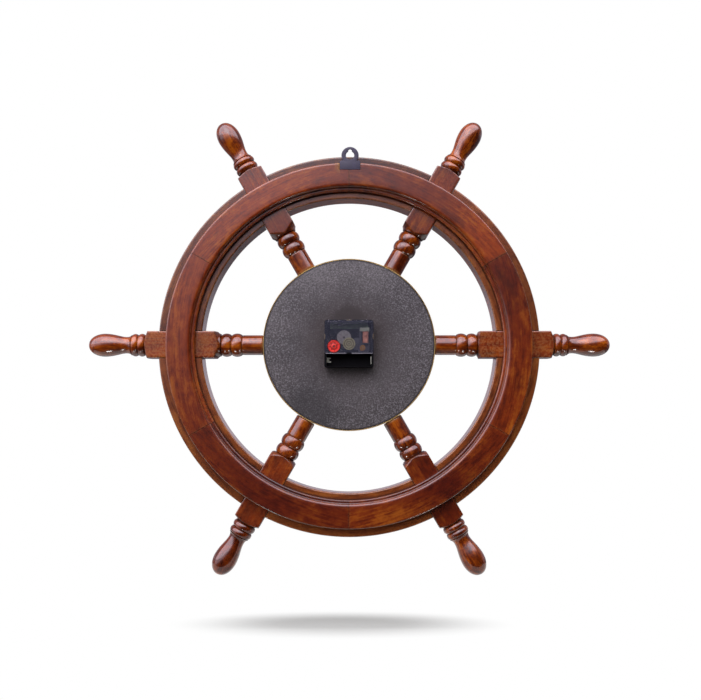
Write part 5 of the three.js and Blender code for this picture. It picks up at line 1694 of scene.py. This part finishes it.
@dataclass
class DialSide:
    """The printed dial, its glass, and the brass bezel that holds them."""

    radius: float = 90.0
    dial_front: float = -12.3
    dial_back: float = -11.5
    hole: float = 4.4
    glass: Point = (-23.9, -21.9)
    inside: float = 90.3
    lip: float = 85.4
    lip_back: float = -24.2
    bezel_front: float = -26.4
    outer: float = 100.0
    numeral_radius: float = 64.0
    numeral_height: float = 13.0
    numerals: tuple[str, ...] = ("XII", "I", "II", "III", "IV", "V", "VI", "VII", "VIII", "IX", "X", "XI")
    ink: float = 0.06
    lines: tuple[float, ...] = (81.6, 76.4)
    ticks: tuple[tuple[int, float, float, float], ...] = ((60, 79.0, 3.6, 0.5), (12, 78.2, 5.4, 1.7))

    def bezel(self) -> Piece:
        """Turns the bezel, with a dome, a bead and a bright lip.

        Returns:
            The bezel.
        """
        reach, rise = self.outer - self.inside, self.lip_back - self.bezel_front
        dome = []
        for lean in np.linspace(0, math.pi / 2, 22).tolist():
            dome.append((self.inside + reach * math.cos(lean), self.lip_back - rise * math.sin(lean) * 0.96))
        bead = []
        for lean in np.linspace(0.25, math.pi - 0.1, 11).tolist():
            bead.append((self.lip + 2.1 + 1.9 * math.cos(lean), self.bezel_front + 1.3 - 1.3 * math.sin(lean)))
        outline = [
            (self.inside, self.dial_back),
            (self.outer - 0.5, self.dial_back),
            (self.outer, self.dial_back - 0.5),
            (self.outer, -17.0),
            (self.outer - 0.7, -17.6),
            (self.outer - 0.7, -18.4),
            (self.outer, -19.0),
            (self.outer, self.lip_back + 0.2),
            *dome,
            *bead,
            (self.lip, self.bezel_front + 1.6),
            (self.lip, self.lip_back),
            (self.inside, self.lip_back),
        ]
        return lathe("brass_bezel", outline, 180).made(Paint.BRASS, 40)

    def marks(self) -> Piece:
        """Prints the minute track, the hour ticks and the numerals as one thin layer of ink.

        Returns:
            The print.
        """
        meshes = []
        for count, radius, length, width in self.ticks:
            size = (length, width, self.ink)
            meshes.append(ring_of_bars("minute_track", count, radius, size, Paint.INK))
        for index, text in enumerate(self.numerals):
            meshes.append(self._numeral(text, index * 30))
        joined = bmesh.new()
        for mesh in meshes:
            joined.from_mesh(mesh)
            bpy.data.meshes.remove(mesh)
        track = bpy.data.meshes.new("dial_print")
        joined.to_mesh(track)
        joined.free()
        for radius in self.lines:
            self._line(track, radius, 0.35)
        stand_up(track, (self.dial_front - self.ink / 2) * MM)
        return dressed("dial_print", track, Paint.INK)

    def _line(self, mesh: bpy.types.Mesh, radius: float, width: float) -> None:
        """Adds a thin round line to a flat drawing.

        Args:
            mesh: The drawing.
            radius: The line's inner radius.
            width: Its width.
        """
        work = bmesh.new()
        work.from_mesh(mesh)
        steps, half = 180, self.ink / 2
        turns = [math.tau * i / steps for i in range(steps)]
        rows = []
        for across, out in boxed(radius, radius + width, -half, half):
            ring = [(across * math.cos(a) * MM, across * math.sin(a) * MM, out * MM) for a in turns]
            rows.append([work.verts.new(point) for point in ring])
        for level in range(4):
            here, there = rows[level], rows[(level + 1) % 4]
            for i in range(steps):
                after = (i + 1) % steps
                work.faces.new((here[i], there[i], there[after], here[after]))
        bmesh.ops.recalc_face_normals(work, faces=work.faces)
        work.to_mesh(mesh)
        work.free()

    def _numeral(self, text: str, clockwise: float) -> bpy.types.Mesh:
        """Draws one numeral at its place round the dial, its foot towards the centre.

        Args:
            text: Its letters.
            clockwise: Its angle from the top, in degrees.

        Returns:
            The mesh.
        """
        letters = bpy.data.curves.new(text, "FONT")
        letters.body = text
        letters.size = self.numeral_height * MM * 1.35
        letters.align_x, letters.align_y = "CENTER", "CENTER"
        letters.extrude = self.ink / 2 * MM
        letters.offset = 0.00022
        letters.resolution_u = 3
        mesh = mesh_of(text, letters)
        turn = math.radians(-clockwise)
        for vertex in mesh.vertices:
            across, up = vertex.co.x * 0.72, vertex.co.y + self.numeral_radius * MM
            vertex.co.x = across * math.cos(turn) - up * math.sin(turn)
            vertex.co.y = across * math.sin(turn) + up * math.cos(turn)
        return mesh

    def build(self) -> None:
        """Makes the bezel, the dial with its print, and the glass."""
        settle(self.bezel(), "clock_body", "brass", "bezel")
        dial = disc_outline(self.radius, self.dial_front, self.dial_back, 0.15, self.hole)
        settle(lathe("dial_face", dial, 160).made(Paint.DIAL), "clock_body", "dial_card", "dial_plate")
        settle(self.marks(), "clock_body", "dial_card")
        lens = disc_outline(self.radius, *self.glass, 0.3)
        settle(lathe("dial_glass", lens, 160).made(Paint.GLASS), "clock_body", "lens_glass", "glass_lens")


class Recipe(Graph):
    """A Geometry Nodes tree with named sizes, run once and kept as a plain mesh."""

    def __init__(self, name: str, sizes: dict[str, float | int]) -> None:
        """Makes the tree and its inputs.

        Args:
            name: The tree's name.
            sizes: Each input's name and value.
        """
        super().__init__(bpy.data.node_groups.new(name, "GeometryNodeTree"))
        self.sizes = sizes
        for label, value in sizes.items():
            kind = "NodeSocketInt" if isinstance(value, int) else "NodeSocketFloat"
            self.tree.interface.new_socket(label, in_out="INPUT", socket_type=kind)
        self.tree.interface.new_socket("Geometry", in_out="OUTPUT", socket_type="NodeSocketGeometry")
        self.entry = self.node("NodeGroupInput")

    def size(self, label: str) -> Tone:
        """Gives one of the tree's inputs."""
        return Tone(self, self.entry.outputs[label])

    def vector(self, *values: Feed) -> Socket:
        """Joins three values to a vector."""
        return self.node("ShaderNodeCombineXYZ", None, dict(enumerate(values))).outputs[0]

    def run(self, shape: Socket, paint: Paint) -> bpy.types.Mesh:
        """Realizes the shape, gives it its finish and returns the plain mesh.

        Args:
            shape: The geometry that the tree made.
            paint: Its finish.

        Returns:
            The mesh.
        """
        real = self.node("GeometryNodeRealizeInstances", None, {0: shape})
        sockets = {"Geometry": real.outputs[0], "Material": paint.value.material()}
        dress = self.node("GeometryNodeSetMaterial", None, sockets)
        self.node("NodeGroupOutput", None, {0: dress.outputs[0]})
        host = placed(self.tree.name, bpy.data.meshes.new(self.tree.name))
        modifier = host.modifiers.new(self.tree.name, "NODES")
        modifier.node_group = self.tree
        for socket in self.tree.interface.items_tree:
            if socket.in_out == "INPUT":
                modifier[socket.identifier] = self.sizes[socket.name]
        mesh = solid_from(host)
        bpy.data.objects.remove(host)
        return mesh


def ring_of_bars(name: str, count: int, radius: float, size: Sequence[float], paint: Paint) -> bpy.types.Mesh:
    """Repeats a bar round a circle in the XY plane, each pointing at the centre.

    Args:
        name: The tree's name.
        count: How many bars there are.
        radius: The circle on which their middles lie.
        size: A bar's length, width and depth.
        paint: The bars' finish.

    Returns:
        The mesh.
    """
    length, width, depth = (value * MM for value in size)
    sizes = {"Count": count, "Radius": radius * MM, "Length": length, "Width": width, "Depth": depth}
    recipe = Recipe(name, sizes)
    sockets = {"Vertices": recipe.size("Count"), "Radius": recipe.size("Radius")}
    circle = recipe.node("GeometryNodeMeshCircle", None, sockets)
    bar = recipe.vector(recipe.size("Length"), recipe.size("Width"), recipe.size("Depth"))
    block = recipe.node("GeometryNodeMeshCube", None, {"Size": bar})
    index = Tone(recipe, recipe.node("GeometryNodeInputIndex").outputs[0])
    turn = recipe.vector(0.0, 0.0, index * math.tau / recipe.size("Count"))
    sockets = {"Points": circle.outputs[0], "Instance": block.outputs[0], "Rotation": turn}
    spread = recipe.node("GeometryNodeInstanceOnPoints", None, sockets)
    return recipe.run(spread.outputs[0], paint)


@dataclass(frozen=True)
class Hand:
    """A leaf-shaped hand, at the time that it shows at rest."""

    name: str
    body: str
    slot: str
    paint: Paint
    length: float
    tail: float
    width: float
    seat: float
    boss: float
    plane: float
    turn: float
    thickness: float = 0.5

    def outline(self) -> list[Point]:
        """Outlines the hand, turned clockwise as seen from the dial's side.

        Returns:
            The points, as X and Z.
        """
        half = self.width / 2
        points = [(half * 0.7, -self.tail), (half, -self.tail * 0.8)]
        points += arc(self.boss, -62, 62, 14)
        for share in np.linspace(0.14, 1.0, 26).tolist():
            swell = math.exp(-(((share - 0.72) / 0.11) ** 2)) * self.width * 0.8
            taper = half * (1 - 0.35 * share)
            close = min(1.0, (1 - share) / 0.16)
            points.append((max(0.05, (taper + swell) * close), self.length * share))
        both = points + [(-x, z) for x, z in reversed(points)]
        cosine, sine = math.cos(-math.tau * self.turn), math.sin(-math.tau * self.turn)
        return [(x * cosine - z * sine, x * sine + z * cosine) for x, z in both]

    def build(self) -> None:
        """Cuts the hand from sheet, with a hole for its arbor."""
        outlines = [self.outline(), arc(self.seat, 0, 348.75, 31)]
        name, top = f"{self.name}_pointer", self.plane + self.thickness
        settle(plate(name, outlines, self.plane, top, self.paint, 0.1), self.body, self.slot, f"{self.name}_hand")


HANDS = (
    Hand("hour", "hour", "hand_black", Paint.HANDS, 46, 12, 4, 2.85, 5.55, -17.0, 10.15 / 12),
    Hand("minute", "minute", "hand_black", Paint.HANDS, 68, 14, 3.2, 1.75, 4.45, -18.6, 9 / 60),
    Hand("second", "seconds", "red_plastic", Paint.RED, 72, 20, 1.2, 0.8, 3.1, -20.2, 35 / 60),
)


# Movement


@dataclass
class Movement:
    """What shows of the quartz movement: its smoked cover, red knob, copper coil and spring contact."""

    half_width: float = 28.0
    top: float = 27.2
    cover_bottom: float = -11.95
    corner: float = 3.0
    under: float = 25.8
    outside: float = 27.1
    lip_wall: float = 0.8
    lip_depth: float = 1.4
    latches: tuple[tuple[float, float, float, float], ...] = (
        (27.3, 28.0, 5.0, 11.0),
        (-28.0, -27.3, 5.0, 11.0),
        (-3.0, 3.0, 26.5, 27.2),
    )
    knob_centre: Point = (17.316, -3.366)
    knob_radius: float = 7.0
    knob_hole: float = 7.5
    knob_face: float = 26.9
    notch: float = 2.6
    marks: tuple[tuple[int, float, float, float, float], ...] = ((18, 6.3, 0.9, 0.42, 0.12), (7, 4.1, 1.9, 0.7, 0.6))
    mark_depth: float = 0.42
    wire: float = 0.24
    turns: int = 62
    tab: Point = (14.22, 14.5)
    leaf_foot: float = 14.2
    coil_corner: float = 1.1
    fork: tuple[Point, ...] = (
        (20.7, -21.4), (25.2, -21.4), (25.2, -15.4), (20.7, -15.4), (20.7, -17.1), (23.0, -17.1),
        (23.0, -19.7), (20.7, -19.7),
    )

    def cover(self) -> Piece:
        """Moulds the smoked cover: a plate with a step along its top edge, a lip, pale strips along its bottom edge
        that are a painted highlight, and amber latches whose colour is partly a painted glint.

        Returns:
            The cover.
        """
        half, bottom, top, out = self.half_width, self.cover_bottom, self.top, self.outside
        corners = rounded(-half, half, bottom, top, self.corner)
        split = len(corners) * 3 // 4
        outline = [*corners[:split], *arc(self.notch, 180, 0, 16, (0, bottom)), *corners[split:]]
        hole = arc(self.knob_hole, 0, 355, 71, self.knob_centre)
        pieces = [plate("cover_sheet", [outline, hole], self.under, out, Paint.SMOKED, 0.35)]
        inner, foot, head, wall = half - 1.5, bottom + 1.2, top - 1.5, self.lip_wall
        ring = [
            rounded(-inner, inner, foot, head, 1.6),
            rounded(-inner + wall, inner - wall, foot + wall, head - wall, 1.0),
        ]
        pieces.append(plate("cover_lip", ring, self.under - self.lip_depth, self.under + 0.2, Paint.SMOKED, 0.1))
        end = half - 3.4
        step = [(-end, top - 1.9), (end, top - 1.9)]
        step += [(end - i * 1.55, top - 4.2 - 1.1 * math.sin(math.pi * i / 32)) for i in range(33)]
        pieces.append(plate("cover_step", [step], out - 0.02, out + 0.12, Paint.SMOKED, 0.05))
        # Two pale strips along the bottom edge are a painted highlight, not a part of the cover.
        for left, right in ((-half + 1.2, -3.0), (3.0, half - 1.2)):
            highlight_strip = boxed(left, right, bottom + 0.15, bottom + 0.95)
            pieces.append(plate("cover_highlight_strip", [highlight_strip], out - 0.04, out + 0.06, Paint.PAINTED_EDGE_HIGHLIGHT, 0.02))
        # The latches' amber is partly their plastic and partly a painted glint.
        for latch in self.latches:
            box = boxed(*latch)
            pieces.append(plate("cover_latch", [box], self.under - 4.0, self.under + 0.1, Paint.AMBER_LATCH_GLINT, 0.12))
        return joined_pieces("cover_moulding", pieces)

    def knob(self, node: Piece) -> Piece:
        """Turns the red knob's dished head, with two rings of grip marks, on the CAD node's stem and leaves.

        Args:
            node: The CAD knob, whose stem and leaves are copied.

        Returns:
            The knob.
        """
        r, face = self.knob_radius, self.knob_face
        outline = [
            (0.02, face - 2.32),
            (r - 0.2, face - 2.32),
            (r, face - 2.1),
            (r, face - 0.25),
            (r - 0.25, face),
            (r - 1.2, face),
            (r - 1.45, face - 0.2),
            (r - 1.6, face - 0.62),
            (2.9, face - 0.62),
            (2.6, face - 0.5),
            (2.3, face - 0.05),
            (2.1, face),
            (1.0, face),
            (0.8, face - 0.15),
            (0.7, face - 1.2),
            (0.02, face - 1.2),
        ]
        body = lathe("knob_body", outline, 72, self.knob_centre).made(Paint.KNOB, 34)
        stem = bmesh.new()
        stem.from_mesh(node.data)
        bmesh.ops.remove_doubles(stem, verts=stem.verts, dist=1e-6)
        head = [part for part in stem.faces if max(v.co.y for v in part.verts) > (face - 2.2) * MM]
        bmesh.ops.delete(stem, geom=head, context="FACES")
        mesh = bpy.data.meshes.new("knob_stem")
        stem.to_mesh(mesh)
        stem.free()
        parts = [body, dressed("knob_stem", mesh, Paint.RED)]
        for count, radius, length, width, below in self.marks:
            mesh = ring_of_bars("knob_marks", count, radius, (length, width, self.mark_depth), Paint.DEEP_RED)
            stand_up(mesh, (face - below) * MM, (self.knob_centre[0] * MM, self.knob_centre[1] * MM))
            parts.append(dressed("knob_marks", mesh, Paint.DEEP_RED))
        return joined_pieces("knob_face", parts)

    def winding(self) -> Piece:
        """Winds the copper coil in fine turns round its bobbin.

        Returns:
            The coil.
        """
        low, high = (Vector(corner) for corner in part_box("coil_winding"))
        wire = self.wire * MM
        sizes = {
            "Turns": self.turns,
            "Width": high.x - low.x - wire,
            "Depth": high.y - low.y - wire,
            "Corner": self.coil_corner * MM,
            "Wire": wire / 2,
            "Pitch": (high.z - low.z - wire) / (self.turns - 1),
        }
        recipe = Recipe("coil_turns", sizes)
        sockets = {"Width": recipe.size("Width"), "Height": recipe.size("Depth")}
        loop = recipe.node("GeometryNodeCurvePrimitiveQuadrilateral", None, sockets)
        sockets = {"Curve": loop.outputs[0], "Radius": recipe.size("Corner"), "Count": 4}
        eased = recipe.node("GeometryNodeFilletCurve", {"mode": "POLY"}, sockets)
        sockets = {"Resolution": 6, "Radius": recipe.size("Wire")}
        section = recipe.node("GeometryNodeCurvePrimitiveCircle", None, sockets)
        sockets = {"Curve": eased.outputs[0], "Profile Curve": section.outputs[0]}
        turn = recipe.node("GeometryNodeCurveToMesh", None, sockets)
        sockets = {"Count": recipe.size("Turns"), "Offset": recipe.vector(0.0, 0.0, recipe.size("Pitch"))}
        line = recipe.node("GeometryNodeMeshLine", None, sockets)
        sockets = {"Points": line.outputs[0], "Instance": turn.outputs[0]}
        turns = recipe.node("GeometryNodeInstanceOnPoints", None, sockets)
        mesh = recipe.run(turns.outputs[0], Paint.COPPER)
        middle = (low + high) / 2
        for vertex in mesh.vertices:
            vertex.co = (vertex.co.x + middle.x, vertex.co.y + middle.y, vertex.co.z + low.z + wire / 2)
        return dressed("wound_coil", mesh, Paint.COPPER)

    def spring(self) -> Piece:
        """Bends the silvery spring contact: a forked tab on the bay's floor and a leaf up the end wall.

        Returns:
            The contact.
        """
        tab = plate("spring_tab", [self.fork], *self.tab, Paint.NICKEL_PAINTED_BRIGHT, 0.08)
        low, high = (Vector(corner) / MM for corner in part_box("contact_negative"))
        edge = boxed(high.x - 0.3, high.x, low.z + 0.4, high.z - 0.4)
        leaf = plate("spring_leaf", [edge], self.leaf_foot, high.y, Paint.NICKEL_PAINTED_BRIGHT, 0.08)
        return joined_pieces("spring_contact", [tab, leaf])

    def build(self, nodes: dict[str, Piece]) -> None:
        """Makes the pieces that replace nodes of the movement.

        Args:
            nodes: The CAD nodes by name.
        """
        settle(self.knob(nodes["setting_knob"]), "knob", "red_plastic", "setting_knob")
        settle(self.spring(), "clock_body", "steel", "contact_negative")
        settle(self.cover(), "clock_body", "smoked_plastic", "movement_cover")
        settle(self.winding(), "clock_body", "copper", "coil_winding")


def joined_pieces(name: str, pieces: Sequence[Piece]) -> Piece:
    """Joins objects into one, each keeping its finish.

    Args:
        name: The new object's name.
        pieces: The objects, which are removed.

    Returns:
        The joined object.
    """
    work = bmesh.new()
    paints: list[bpy.types.Material] = []
    for piece in pieces:
        before = len(work.faces)
        work.from_mesh(piece.data)
        work.faces.ensure_lookup_table()
        paint = piece.data.materials[0]
        if paint not in paints:
            paints.append(paint)
        for face in work.faces[before:]:
            face.material_index = paints.index(paint)
    mesh = bpy.data.meshes.new(name)
    work.to_mesh(mesh)
    work.free()
    for piece in pieces:
        bpy.data.objects.remove(piece)
    for paint in paints:
        mesh.materials.append(paint)
    return placed(name, mesh)


CARRIED_OVER = {
    "hub_core": Paint.SAWN,
    "spacer_ring": Paint.BLACK,
    "shaft_bushing": Paint.BRASS,
    "dial_washer": Paint.BRASS,
    "dial_nut": Paint.BRASS,
    "movement_housing": Paint.BLACK,
    "train_plate": Paint.BLACK,
    "circuit_board": Paint.CIRCUIT,
    "quartz_crystal": Paint.STEEL,
    "coil_bobbin": Paint.BOBBIN,
    "coil_core": Paint.IRON,
    "stator": Paint.IRON,
    "rotor": Paint.MAGNET,
    "step_wheel": Paint.SMOKY,
    "seconds_wheel": Paint.CREAM,
    "third_wheel": Paint.THIRD,
    "centre_wheel": Paint.WHITE,
    "minute_arbor": Paint.BRASS,
    "intermediate_wheel": Paint.WHITE,
    "hour_wheel": Paint.WHITE,
    "contact_positive": Paint.NICKEL_PAINTED_BRIGHT,
}


def dress_nodes(nodes: dict[str, Piece]) -> None:
    """Gives every CAD node that stays its finish.

    Args:
        nodes: The CAD nodes by name.
    """
    for name, paint in CARRIED_OVER.items():
        for slot in nodes[name].material_slots:
            slot.material = paint.value.material()
        log.info("%s stays, in %s", name, paint.value.name)


# Studio


@dataclass(frozen=True)
class Lamp:
    """A soft lamp that looks at the wheel. Its strength is a radiance, and it lights, makes glints or both."""

    name: str
    place: tuple[float, float, float]
    size: Point
    radiance: float
    lights: bool = True
    glints: bool = True

    def hang(self) -> None:
        """Hangs the lamp."""
        width, height = self.size
        data = bpy.data.lights.new(self.name, "AREA")
        data.shape, data.size, data.size_y = "RECTANGLE", width, height
        data.energy = self.radiance * math.pi * width * height
        made = placed(self.name, data)
        made.location = self.place
        made.rotation_euler = (-Vector(self.place)).to_track_quat("-Z", "Y").to_euler()
        made.visible_camera = False
        made.visible_diffuse, made.visible_glossy = self.lights, self.glints


@dataclass(frozen=True)
class World:
    """A world that is white for the camera, bright behind the wheel and dim behind the camera."""

    horizon: float = 0.12
    front_lean: float = 0.45
    front_lift: float = 0.08
    front_gain: float = 2.6
    front_power: float = 3.2
    front_glow: float = 1.95
    front_least: float = 0.02
    sheen_lean: float = 0.25
    sheen_band: Point = (0.3, 0.42)
    sheen_glow: float = 3.4
    gloss_band: Point = (-0.08, 0.12)
    gloss_dimming: float = 0.85
    sky_band: Point = (0.1, 0.4)
    upper_share: float = 0.5
    tint: Colour = (0.94, 0.86, 1.0, 1.0)

    def light(self) -> None:
        """Makes the world and its nodes."""
        world = bpy.data.worlds.new("studio_world")
        world.use_nodes = True
        bpy.context.scene.world = world
        graph = Graph(world.node_tree)
        across, back, up = graph.parts(graph.node("ShaderNodeTexCoord").outputs["Generated"])
        glossy, seen = graph.rays("Glossy"), graph.rays("Camera", "Transmission")
        behind = 1.0 - back.between(-self.horizon, self.horizon)
        slope = (up + across * self.front_lean + self.front_lift) * self.front_gain
        front = slope.at_least(0.0).at_most(1.0) ** self.front_power * self.front_glow + self.front_least
        front = front + (up + across * self.sheen_lean).between(*self.sheen_band) * glossy * self.sheen_glow
        dimmed = 1.0 - glossy * (self.gloss_dimming - up.between(*self.gloss_band) * self.upper_share)
        sky = behind * (1.0 - up.between(*self.sky_band) * self.upper_share) * dimmed
        strength = (front * (1.0 - behind) + sky) * (1.0 - seen) + seen
        tint = graph.blend(glossy * (1.0 - seen), WHITE, self.tint)
        ground = graph.node("ShaderNodeBackground", None, {"Color": tint, "Strength": strength})
        graph.node("ShaderNodeOutputWorld", None, {"Surface": ground.outputs[0]})


@dataclass(frozen=True)
class Floor:
    """The pale floor, in metres: it keeps the wheel's shadow, inside a grey ellipse that is itself a painted shadow,
    and fades to white round it.
    """

    level: float = -0.32
    side: float = 0.7
    back: float = -0.5
    front: float = 0.085
    grey: Colour = (0.5, 0.5, 0.5, 1.0)
    shadow: Point = (0.008, 0.004)
    shadow_scale: Point = (5.4, 15.0)
    fade: Point = (0.3, 1.1)

    def lay(self) -> None:
        """Lays the floor and tells the frame that it is part of the studio."""
        mesh = bpy.data.meshes.new("floor")
        corners = [(*corner, self.level) for corner in boxed(-self.side, self.side, self.back, self.front)]
        mesh.from_pydata(corners, [], [(0, 1, 2, 3)])
        made = placed("floor", mesh)
        material = bpy.data.materials.new("studio_floor")
        material.use_nodes = True
        graph = Graph(material.node_tree)
        # The grey ellipse under the wheel is a painted shadow; the real shadow falls inside it.
        place = graph.shift(graph.place(), (-self.shadow[0], -self.shadow[1], -self.level))
        away = graph.reach(graph.stretch(place, (*self.shadow_scale, 0.0)))
        paper = graph.node("ShaderNodeBsdfDiffuse", None, {"Color": self.grey})
        white = graph.node("ShaderNodeEmission", None, {"Color": WHITE, "Strength": 1.0})
        share = away.between(*self.fade) * graph.rays("Camera", "Transmission", "Glossy")
        mixed = graph.node("ShaderNodeMixShader", None, {0: share, 1: paper.outputs[0], 2: white.outputs[0]})
        graph.node("ShaderNodeOutputMaterial", None, {"Surface": mixed.outputs[0]})
        mesh.materials.append(material)
        made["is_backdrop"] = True


@dataclass
class Studio:
    """The camera of the photograph, and the lamps, the world and the floor round the wheel, in metres."""

    camera: tuple[float, float, float] = (-0.0054, 1.05, -0.0787)
    yaw: float = 0.0036
    pitch: float = 0.0694
    lens: float = 46.14
    sensor: float = 36.0
    lamps: tuple[Lamp, ...] = (
        Lamp("ceiling", (0.5, 1.5, 1.6), (1.4, 1.2), 2.4),
        Lamp("overhead", (0.0, 0.03, 1.2), (0.3, 0.14), 46.0, glints=False),
        Lamp("low_side", (-0.34, 0.26, -0.72), (0.16, 0.14), 20.0, lights=False),
        Lamp("low_front", (0.3, 0.22, -0.6), (0.12, 0.11), 22.0, lights=False),
    )

    def set_camera(self) -> None:
        """Puts the camera where the photograph was taken from."""
        data = bpy.data.cameras.new("camera")
        data.lens, data.sensor_width = self.lens, self.sensor
        made = placed("camera", data)
        ahead = Vector((math.sin(self.yaw), -math.cos(self.yaw), 0.0)) * math.cos(self.pitch)
        ahead.z = math.sin(self.pitch)
        made.location = self.camera
        made.rotation_euler = ahead.to_track_quat("-Z", "Y").to_euler()
        bpy.context.scene.camera = made

    def build(self) -> None:
        """Sets up the camera, the lamps, the world and the floor."""
        self.set_camera()
        for lamp in self.lamps:
            lamp.hang()
        World().light()
        Floor().lay()
        bpy.context.scene.view_settings.view_transform = "Standard"


def corners_of(box: tuple[Vector, Vector]) -> list[list[float]]:
    """Turns a box's two corners to plain lists."""
    return [list(corner) for corner in box]


def main() -> dict:
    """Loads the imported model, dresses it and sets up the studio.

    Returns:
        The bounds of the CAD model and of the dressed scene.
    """
    logging.basicConfig(level=logging.INFO, format="%(message)s")
    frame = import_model()
    sizes = {"cad": corners_of(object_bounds())}
    Studio().build()
    dress_nodes(frame["nodes"])
    Spokes().build()
    Rim().build()
    HangerPlate().build()
    Hub().build()
    DialSide().build()
    for hand in HANDS:
        hand.build()
    Movement().build(frame["nodes"])
    sizes["visual"] = corners_of(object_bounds())
    return sizes


if __name__ == "__main__":
    main()
